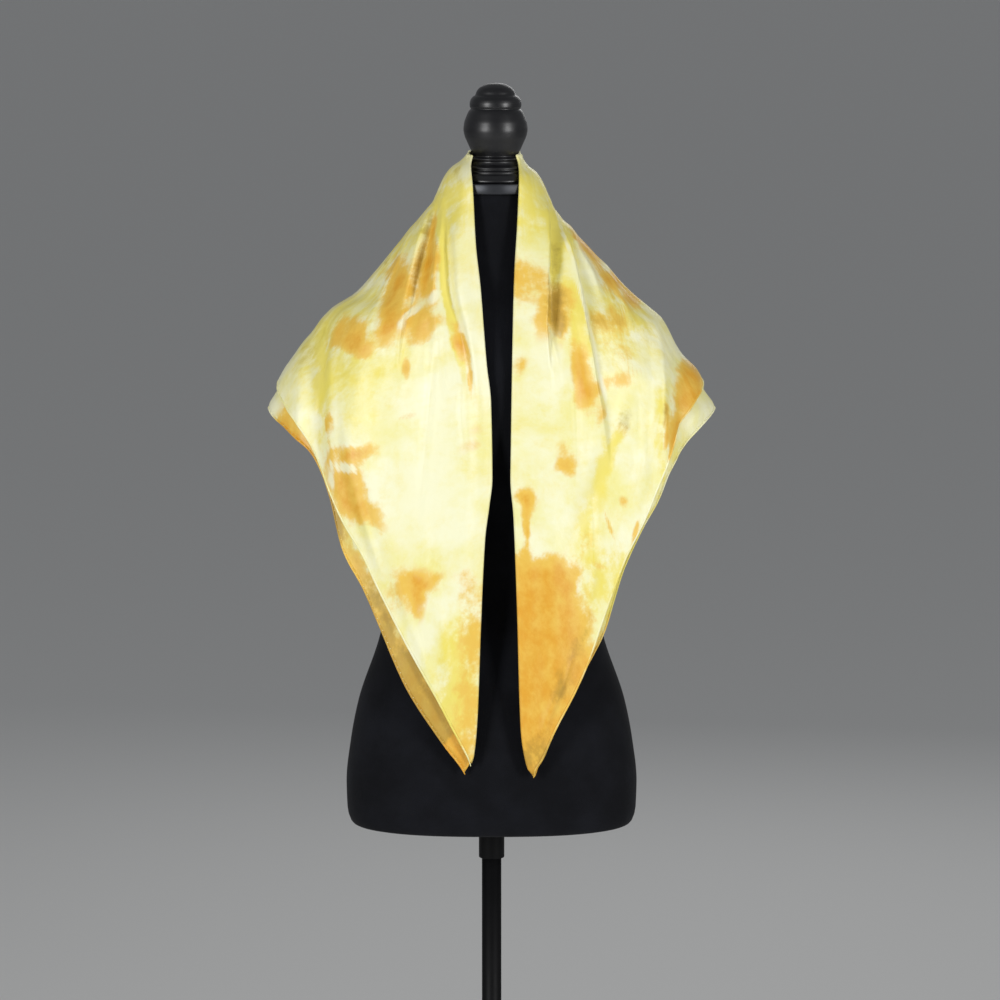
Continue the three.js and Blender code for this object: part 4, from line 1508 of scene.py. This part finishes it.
    def under_point(self, strand: Strand, z: float, _over: float) -> Vector:
        """Finds a point of the under ply, which hangs just inside the upper one.

        Args:
            strand: Its column.
            z: Its height.
            _over: Not used, because this ply ends below the throat's fold.

        Returns:
            The point on the outer face.
        """
        side, turn = strand.side, self.turn_of(strand, z)
        out = self.drape.outward(side, turn, z)
        point = self.drape.point(side, turn, z, self.under_depth(side, turn, z))
        return point + out * (self.rippled(side, turn, z) + self.under_ripple.at(side, turn, z))

    def cut_place(self, side: Side, turn: float, below: float) -> tuple[float, float]:
        """Finds where a point lies on the flat square.

        Args:
            side: The side of the body.
            turn: The turn round it.
            below: How far below the throat it lies along the cloth.

        Returns:
            Its place along two of the square's sides, in metres from the middle of the fold.
        """
        angle = math.radians(turn / 2)
        start = self.half_fold_at_throat * (180 - turn) / 180
        across = -side.value * (start + below * math.cos(angle))
        down = below * math.sin(angle)
        diagonal = math.sqrt(0.5)
        return (across + down) * diagonal * MM, (down - across) * diagonal * MM

    def seat_of(self, patch: Patch, front: bool) -> Vector:
        """Finds the point of the cloth at which a patch is centred.

        Args:
            patch: The patch.
            front: Whether it lies on the front.

        Returns:
            The point.
        """
        middle, half = self.drape.width(patch.z)
        share = min(1.0, abs(patch.x - middle) / half)
        depth = self.drape.section["front" if front else "back"](patch.z)
        square = self.drape.section["square"](patch.z)
        y = depth * (1 - share ** square) ** (1 / square)
        return Vector((patch.x, -y if front else y, patch.z))

    def dye(self, mesh: bmesh.types.BMesh, patches: DyeShadeAndHighlights, boost: float = 0) -> None:
        """Writes the dyes' soft masks on each vertex, with the painted shade and highlights among them.

        Args:
            mesh: The mesh to dye, in millimetres.
            patches: The patches of the front.
            boost: How much more golden dye it holds all over.
        """
        for dye in Dye:
            layer = mesh.verts.layers.float.new(dye.value)
            fronts = [(patch, self.seat_of(patch, front=True)) for patch in patches[dye]]
            backs = [(patch, self.seat_of(patch, front=False)) for patch in BACK_PATCHES[dye]]
            seated = fronts + backs
            for vertex in mesh.verts:
                bare = 1.0
                creep = self.creeps[0].at(vertex.co) + self.creeps[1].at(vertex.co)
                for patch, seat in seated:
                    bare *= 1 - self.dyed_by(patch, seat, vertex.co, creep)
                vertex[layer] = 1 - bare + (boost if dye is Dye.GOLD else 0)

    def dyed_by(self, patch: Patch, seat: Vector, place: Vector, creep: Vector) -> float:
        """Finds how much one patch dyes the cloth. A small patch creeps less.

        Args:
            patch: The patch.
            seat: The point of the cloth at which it is centred.
            place: The point of the cloth.
            creep: How far dye creeps aside there.

        Returns:
            The share that it dyes, from 0 to just below 1.
        """
        gap = place + creep * min(1, patch.wide / self.free_creep, patch.high / self.free_creep) - seat
        size = patch.high + patch.wide
        if max(abs(gap.x), abs(gap.z)) > self.dye_reach * size:
            return 0.0
        lean = math.radians(patch.lean)
        across = (gap.x * math.cos(lean) + gap.z * math.sin(lean)) / patch.wide
        along = (gap.z * math.cos(lean) - gap.x * math.sin(lean)) / patch.high
        deep = gap.y / (size + self.dye_depth)
        away = across * across + along * along + deep * deep
        return min(self.dye_most, patch.amount * math.exp(-self.dye_fade * away ** patch.hard))

    def sheet_mesh(
        self,
        strands: Sequence[Strand],
        overs: Sequence[float],
        rows: int,
        hem: dict[Side, SmoothCurve],
        place: Callable[[Strand, float, float], Vector],
        patches: DyeShadeAndHighlights,
    ) -> bmesh.types.BMesh:
        """Makes one ply's grid, with its place on the cut as its UV map.

        Args:
            strands: Its columns.
            overs: Distances over the throat's fold, nearest first.
            rows: The number of faces from the throat to the hem.
            hem: The height of its hem, by turn.
            place: Gives the point of a strand at a height and a distance over the throat.
            patches: The dye patches of its front.

        Returns:
            The dyed bmesh in millimetres.
        """
        extra = len(overs)
        cuts: dict[int, tuple[float, float]] = {}
        width = len(strands)
        drop = self.fold_radius[-1][1]

        def at(column: int, row: int) -> Vector:
            """Returns the sheet's point, and keeps its place on the cut."""
            strand = strands[column]
            down = (max(row - extra, 0) / rows) ** self.row_gather
            rough_turn = self.turn_of(strand, self.hem_height)
            top = self.drape.throat(rough_turn) - drop
            turn = self.turn_of(strand, top + (hem[strand.side](rough_turn) - top) * down)
            z = top + (hem[strand.side](turn) - top) * down
            over = overs[extra - 1 - row] if row < extra else 0
            below = (top - z) * self.cut_slack - self.over_length * over
            cuts[column + row * width] = self.cut_place(strand.side, turn - strand.past, below)
            return place(strand, z, over)

        mesh = mapped_grid(width - 1, rows + extra, at)
        map_cut(mesh, lambda vertex: cuts[vertex.index])
        self.dye(mesh, patches)
        return mesh

    def thickened(self, piece: bpy.types.Object) -> bpy.types.Object:
        """Returns a ply with its thickness given to it, inwards."""
        solid = piece.modifiers.new("thickness", "SOLIDIFY")
        solid.thickness = self.cloth * MM
        solid.offset = -1
        return piece

    def build_upper(self) -> bpy.types.Object:
        """Builds the upper ply, which turns in round the folded front edges and the throat."""
        past = self.past_steps()
        strands = self.strands(self.upper_columns, past)
        hem = self.drape.upper
        mesh = self.sheet_mesh(strands, past, self.upper_rows, hem, self.upper_point, DYE_SHADE_AND_HIGHLIGHT_PATCHES)
        piece = self.thickened(finished("silk_upper_ply", mesh, self.silk))
        return dressed(piece, "silk", "scarf_left_front", "scarf_right_front", "scarf_back")

    def build_under(self) -> bpy.types.Object:
        """Builds the under ply."""
        strands = self.strands(self.under_columns, [])
        hem = self.drape.under
        mesh = self.sheet_mesh(strands, [], self.under_rows, hem, self.under_point, UNDER_PATCHES)
        piece = self.thickened(finished("silk_under_ply", mesh, self.silk))
        return dressed(piece, "silk", "under_ply_left", "under_ply_right", "under_ply_back")

    def hem_line(self, under: bool, inset: float, steps: int) -> tuple[list[Vector], list[Vector]]:
        """Follows a ply's hem from tip to tip.

        Args:
            under: Whether it is the under ply's hem.
            inset: How far inside the ply's face the line lies.
            steps: The number of steps on each side, which are shortest at the tips.

        Returns:
            The line's points, and the direction out of the cloth at each.
        """
        hem = self.drape.under if under else self.drape.upper
        turns = [180 * (i / steps) ** self.hem_gather for i in range(steps + 1)]
        stations = [(Side.LEFT, turn) for turn in turns[:-1]]
        stations += [(Side.RIGHT, turn) for turn in reversed(turns)]
        line, outs = [], []
        for side, turn in stations:
            z = hem[side](turn)
            out = self.drape.outward(side, max(turn, self.tip_turn), z)
            depth = inset + (self.under_depth(side, turn, z) if under else 0)
            line.append(self.drape.point(side, turn, z) + out * (self.rippled(side, turn, z) - depth))
            outs.append(out)
        return line, outs

    def roll_radius(self, from_tip: int, wave: float) -> float:
        """Returns a rolled hem's radius a number of steps from its nearer tip, where wave is -1 to 1."""
        narrowed = min(1, self.hem_tip + from_tip / self.hem_tip_steps)
        return self.hem_radius * (1 + self.hem_wave * wave) * narrowed

    def build_hem(
        self, name: str, under: bool, inset: float, patches: DyeShadeAndHighlights, boost: float
    ) -> bpy.types.Object:
        """Builds one rolled hem as an uneven tube along the ply's edge.

        Args:
            name: The piece's name.
            under: Whether it is the under ply's hem.
            inset: How far its middle lies inside the ply's face.
            patches: The dye patches of the ply's front.
            boost: How much more golden dye it holds.

        Returns:
            The finished piece.
        """
        line, outs = self.hem_line(under, inset, self.hem_steps)
        last = len(line) - 1
        seed = 6 if under else 0
        waves = [noise.noise(Vector((i / self.hem_wave_steps, seed, 0))) for i in range(last + 1)]
        radii = [self.roll_radius(min(i, last - i), wave) for i, wave in enumerate(waves)]
        mesh = tube_along(line, outs, radii, self.hem_around)
        map_cut(mesh, seen_place)
        self.dye(mesh, patches, boost)
        return dressed(finished(name, mesh, self.silk), "silk")

    def stitch(self, mesh: bmesh.types.BMesh, here: Vector, there: Vector, out: Vector) -> None:
        """Adds one slip stitch, which stands up from the roll.

        Args:
            mesh: The stitches' mesh.
            here: The hem's point under the stitch.
            there: The hem's next point.
            out: The direction out of the cloth.
        """
        made = bmesh.ops.create_icosphere(mesh, subdivisions=1, radius=self.thread)
        along = (there - here).normalized()
        up = out.cross(along).normalized()
        up = up if up.z > 0 else -up
        for vertex in made["verts"]:
            high, wide, deep = vertex.co
            rise = self.hem_radius + high * self.stitch_length
            vertex.co = here + up * rise + along * wide + out * deep * self.stitch_flatness

    def build_stitches(self) -> bpy.types.Object:
        """Builds the small slip stitches along both hems, as one joined mesh."""
        mesh = bmesh.new()
        for under, inset in ((False, 0.1), (True, -0.1)):
            line, outs = self.hem_line(under, inset, self.stitch_steps)
            since = 0.0
            for here, there, out in zip(line, line[1:], outs):
                since += (there - here).length
                if since >= self.stitch_gap:
                    since = 0.0
                    self.stitch(mesh, here, there, out)
        map_cut(mesh, seen_place)
        self.dye(mesh, DYE_SHADE_AND_HIGHLIGHT_PATCHES)
        return dressed(finished("hem_stitches", mesh, self.silk), "silk")

    def build(self) -> None:
        """Builds every piece of the scarf."""
        upper, under = self.build_upper(), self.build_under()
        upper_hem = self.build_hem("upper_rolled_hem", False, 0.7, DYE_SHADE_AND_HIGHLIGHT_PATCHES, -0.3)
        under_hem = self.build_hem("under_rolled_hem", True, 0.4, UNDER_PATCHES, 0.15)
        stitches = self.build_stitches()


@dataclass
class DressForm:
    """The covered torso, its neck cap and its turned finial. Lengths are in millimetres.

    A section is a height, the half-width, the depths in front and behind, and the squareness.
    """

    cover: bpy.types.Material
    wood: bpy.types.Material
    cap: bpy.types.Material
    segments: int = 160
    row_step: float = 7
    foot_rows: tuple[float, ...] = (0, 0.6, 1.3, 2.2, 3.4, 5)
    turned_steps: int = 96
    cap_x: float = 3
    finial_x: float = 4.8
    finial_step: float = 0.7
    finial_tip: float = 0.1
    sections: tuple[tuple[float, float, float, float, float], ...] = (
        (704, 158, 96, 100, 2.5),
        (706, 165, 102, 106, 2.5),
        (713, 169.5, 106, 110, 2.5),
        (724, 171.5, 108, 112, 2.45),
        (755, 172.5, 109, 113, 2.4),
        (801, 167.5, 106, 112, 2.35),
        (850, 158, 99, 108, 2.3),
        (925, 133, 88, 92, 2.25),
        (1000, 117, 80, 76, 2.2),
        (1060, 121, 86, 76, 2.2),
        (1130, 137, 102, 86, 2.15),
        (1190, 149, 112, 95, 2.1),
        (1240, 160, 108, 98, 2.1),
        (1275, 178, 97, 92, 2.1),
        (1292, 186, 91, 87, 2.1),
        (1304, 183, 86, 83, 2.1),
        (1319, 166, 80, 78, 2.05),
        (1334, 144, 75, 73, 2),
        (1361, 116, 68, 67, 2),
        (1391, 91, 61, 61, 2),
        (1416, 69, 55, 55, 2),
        (1436, 54, 50, 50, 2),
        (1451.7, 50, 48, 48, 2),
    )
    band: tuple[tuple[float, float], ...] = (
        (1452, 52.6), (1452.4, 53.8), (1453.4, 54.2), (1462.6, 54.2), (1463.6, 53.8), (1464, 52.8),
    )
    finial: tuple[tuple[float, float], ...] = (
        # The flared foot, two beads and a cove.
        (1464.3, 43), (1465.4, 45), (1466.6, 45.2), (1470, 43.6), (1473.6, 41.2), (1474.3, 39),
        (1474.9, 37.2), (1476, 37.7), (1477.4, 37), (1478.3, 34.8), (1478.9, 33.8), (1480.4, 34.7),
        (1482, 34.2), (1483.4, 31.6), (1485.6, 28.4), (1488.6, 27.4), (1489.5, 28.4), (1491, 29.6),
        (1492.4, 28.8), (1493.4, 26), (1494.4, 25),
        # The ball.
        (1495.5, 25.6), (1500.8, 28.7), (1509.4, 32.6), (1518, 36.2), (1525.3, 37.5), (1533, 36.6),
        (1541.2, 33.8), (1546.6, 31.2), (1548.4, 29.6), (1549.4, 28.8),
        # The ring and the domed top.
        (1550.6, 29.6), (1552, 30.1), (1555, 30.2), (1559.3, 29.3), (1562, 27.6), (1563.6, 26),
        (1564.6, 24.2), (1566, 23.3), (1569, 22.3), (1573, 19.4), (1576, 14.6), (1578, 9.4), (1578.9, 4),
    )

    def build_torso(self) -> bpy.types.Object:
        """Builds the torso as a closed loft of its sections."""
        half, front, back, square = (
            SmoothCurve((row[0], row[i]) for row in self.sections) for i in (1, 2, 3, 4)
        )
        foot, top = self.sections[0][0], self.sections[-1][0]
        low = [foot + rise for rise in self.foot_rows]
        count = round((top - low[-1]) / self.row_step)
        heights = low + [low[-1] + (top - low[-1]) * (i + 1) / count for i in range(count)]

        def place(column: int, row: int) -> Vector:
            """Returns the loft's point."""
            angle, z = 2 * math.pi * column / self.segments, heights[row]
            power = 2 / square(z)
            depth = front(z) if math.sin(angle) < 0 else back(z)
            x = half(z) * powered(math.cos(angle), power)
            return Vector((x, depth * powered(math.sin(angle), power), z))

        mesh = sealed(mapped_grid(self.segments, len(heights) - 1, place), self.segments)
        return dressed(finished("torso_cover", mesh, self.cover), "form_cover", "torso")

    def build_cap(self) -> bpy.types.Object:
        """Builds the flat cap on the neck."""
        mesh = turned_mesh(self.band, self.turned_steps, self.cap_x)
        return dressed(finished("neck_cap_band", mesh, self.cap), "painted_steel", "neck_cap")

    def build_finial(self) -> bpy.types.Object:
        """Builds the turned finial."""
        radius = SmoothCurve(self.finial)
        foot, top = self.finial[0][0], self.finial[-1][0]
        count = round((top - foot) / self.finial_step)
        heights = [foot + (top - foot) * i / count for i in range(count + 1)]
        profile = [*((z, radius(z)) for z in heights), (top + self.finial_tip, 0)]
        mesh = turned_mesh(profile, self.turned_steps, self.finial_x)
        return dressed(finished("turned_finial", mesh, self.wood), "painted_wood", "finial")

    def build(self) -> None:
        """Builds every piece of the dress form."""
        self.build_torso()
        self.build_cap()
        self.build_finial()


@dataclass
class Stand:
    """The collar, the pole, its boss and the round base plate. Lengths are in millimetres."""

    paint: bpy.types.Material
    gap: float = 0.3
    steps: int = 72
    edge_steps: int = 5
    torso_foot: float = 704
    collar_foot: float = 659.5
    collar_radius: float = 15.2
    collar_bevel: float = 1.2
    pole_radius: float = 11.6
    boss_top: float = 42
    boss_radius: float = 24
    boss_bevel: float = 4
    plate_top: float = 9
    plate_radius: float = 165
    plate_bevel: float = 3
    plate_chamfer: float = 0.6
    plate_steps: int = 128

    def dressed_paint(self, name: str, mesh: bmesh.types.BMesh, node: str) -> bpy.types.Object:
        """Returns a painted piece of the stand that stands for a node."""
        return dressed(finished(name, mesh, self.paint), "painted_steel", node)

    def round_edge(self, z: float, radius: float, bevel: float, start: float) -> list[tuple[float, float]]:
        """Draws a quarter round of a profile.

        Args:
            z: The height of its centre.
            radius: The distance of its centre from the axis.
            bevel: Its own radius.
            start: The angle at which it starts, in degrees.

        Returns:
            Its points, as pairs of a height and a radius.
        """
        angles = [math.radians(start + 90 * i / self.edge_steps) for i in range(self.edge_steps + 1)]
        return [(z + bevel * math.sin(a), radius + bevel * math.cos(a)) for a in angles]

    def ring(self, foot: float, top: float, radius: float, bevel: float) -> bmesh.types.BMesh:
        """Makes a ring round the pole with rounded outer edges.

        Args:
            foot: The height of its foot.
            top: The height of its top.
            radius: Its outer radius.
            bevel: The radius of its edges.

        Returns:
            The bmesh of the ring.
        """
        bore = self.pole_radius + self.gap
        profile = [(foot, bore), (foot, radius - bevel)]
        profile += self.round_edge(foot + bevel, radius - bevel, bevel, -90)
        profile += self.round_edge(top - bevel, radius - bevel, bevel, 0)
        profile += [(top, bore), (foot, bore)]
        return turned_mesh(profile, self.steps)

    def build(self) -> None:
        """Builds every piece of the stand."""
        foot = self.plate_top + self.gap
        top = self.torso_foot - self.gap
        pole = turned_mesh([(foot, self.pole_radius), (top, self.pole_radius)], self.steps)
        self.dressed_paint("stand_pole", pole, "pole")
        collar = self.ring(self.collar_foot, top, self.collar_radius, self.collar_bevel)
        self.dressed_paint("form_collar", collar, "collar")
        boss = self.ring(foot, self.boss_top, self.boss_radius, self.boss_bevel)
        self.dressed_paint("stand_boss", boss, "pole_boss")
        bevel, chamfer = self.plate_bevel, self.plate_chamfer
        edge = self.round_edge(self.plate_top - bevel, self.plate_radius - bevel, bevel, 0)
        profile = [(0, self.plate_radius - chamfer), (chamfer, self.plate_radius), *edge]
        self.dressed_paint("stand_plate", turned_mesh(profile, self.plate_steps), "base_plate")


class Softbox(NamedTuple):
    """A soft light: its name, its place and size in metres, and its power in watts."""

    name: str
    at: tuple[float, float, float]
    width: float
    height: float
    watts: float


@dataclass
class Studio:
    """The floor, the lights and the photograph's camera. Lengths are in metres unless their name says so."""

    aim: tuple[float, float] = (0.010, 1.089)
    distance: float = 5.0
    elevation: float = 7.5
    metres_per_pixel: float = 0.00118
    frame_pixels: int = 1000
    sensor_mm: float = 36
    view_end: float = 400
    floor_radius_mm: float = 120000
    floor_drop_mm: float = 0.4
    floor_steps: int = 96
    floor_colour: Colour = (0.66, 0.66, 0.65)
    floor_roughness: float = 0.9
    lit_height: float = 1.15
    air_colour: Colour = (0.80, 0.82, 0.85)
    air_strength: float = 0.3
    softboxes: tuple[Softbox, ...] = (
        Softbox("softbox_left", (-2.2, -2.8, 1.75), 0.8, 1.7, 78),
        Softbox("softbox_right", (2.55, -2.5, 1.7), 0.8, 1.7, 74),
        Softbox("softbox_back", (0.6, 3.6, 2.4), 1.8, 1.4, 16),
    )

    def build_camera(self) -> None:
        """Builds the camera at the photograph's angle."""
        tilt = math.radians(self.elevation)
        data = bpy.data.cameras.new("camera")
        data.sensor_width = self.sensor_mm
        focal_pixels = self.distance / math.cos(tilt) / self.metres_per_pixel
        data.lens = focal_pixels / self.frame_pixels * self.sensor_mm
        data.clip_end = self.view_end
        camera = bpy.data.objects.new("camera", data)
        camera.location = (self.aim[0], -self.distance, self.aim[1] + self.distance * math.tan(tilt))
        camera.rotation_euler = (math.pi / 2 - tilt, 0, 0)
        bpy.context.scene.collection.objects.link(camera)
        bpy.context.scene.camera = camera

    def build_floor(self) -> None:
        """Builds the plain pale floor."""
        mesh = bmesh.new()
        bmesh.ops.create_circle(mesh, cap_ends=True, segments=self.floor_steps, radius=self.floor_radius_mm)
        bmesh.ops.translate(mesh, vec=(0, 0, -self.floor_drop_mm), verts=mesh.verts)
        inputs = {"Base Color": (*self.floor_colour, 1), "Roughness": self.floor_roughness}
        material, _, _ = new_material("pale_floor", inputs)
        finished("floor", mesh, material, smooth=False)

    def build_lights(self) -> None:
        """Builds the soft studio lights, which face the form."""
        for box in self.softboxes:
            data = bpy.data.lights.new(box.name, "AREA")
            data.shape = "RECTANGLE"
            data.size = box.width
            data.size_y = box.height
            data.energy = box.watts
            light = bpy.data.objects.new(box.name, data)
            light.location = box.at
            away = Vector(box.at) - Vector((0, 0, self.lit_height))
            light.rotation_euler = away.to_track_quat("Z", "Y").to_euler()
            bpy.context.scene.collection.objects.link(light)
        world = bpy.data.worlds.new("studio")
        world.use_nodes = True
        background = world.node_tree.nodes["Background"]
        background.inputs["Color"].default_value = (*self.air_colour, 1)
        background.inputs["Strength"].default_value = self.air_strength
        bpy.context.scene.world = world

    def build(self) -> None:
        """Builds the camera, the floor and the lights."""
        self.build_camera()
        self.build_floor()
        self.build_lights()
        bpy.context.scene.view_settings.view_transform = "Standard"


def main() -> None:
    """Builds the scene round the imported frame."""
    logging.basicConfig(level=logging.INFO, format="%(name)s: %(message)s")
    noise.seed_set(DYE_SEED)
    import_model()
    Studio().build()
    Scarf(Drape(), SilkFinish().material()).build()
    wood = PaintFinish("satin_black_wood", (0.004, 0.004, 0.005), 0.36).material()
    band = PaintFinish("satin_grey_band", (0.03, 0.032, 0.037), 0.42, metallic=0.6).material()
    steel = PaintFinish("black_steel", (0.003, 0.003, 0.0034), 0.5, specular=0.1).material()
    DressForm(CoverFinish().material(), wood, band).build()
    Stand(steel).build()


if __name__ == "__main__":
    main()
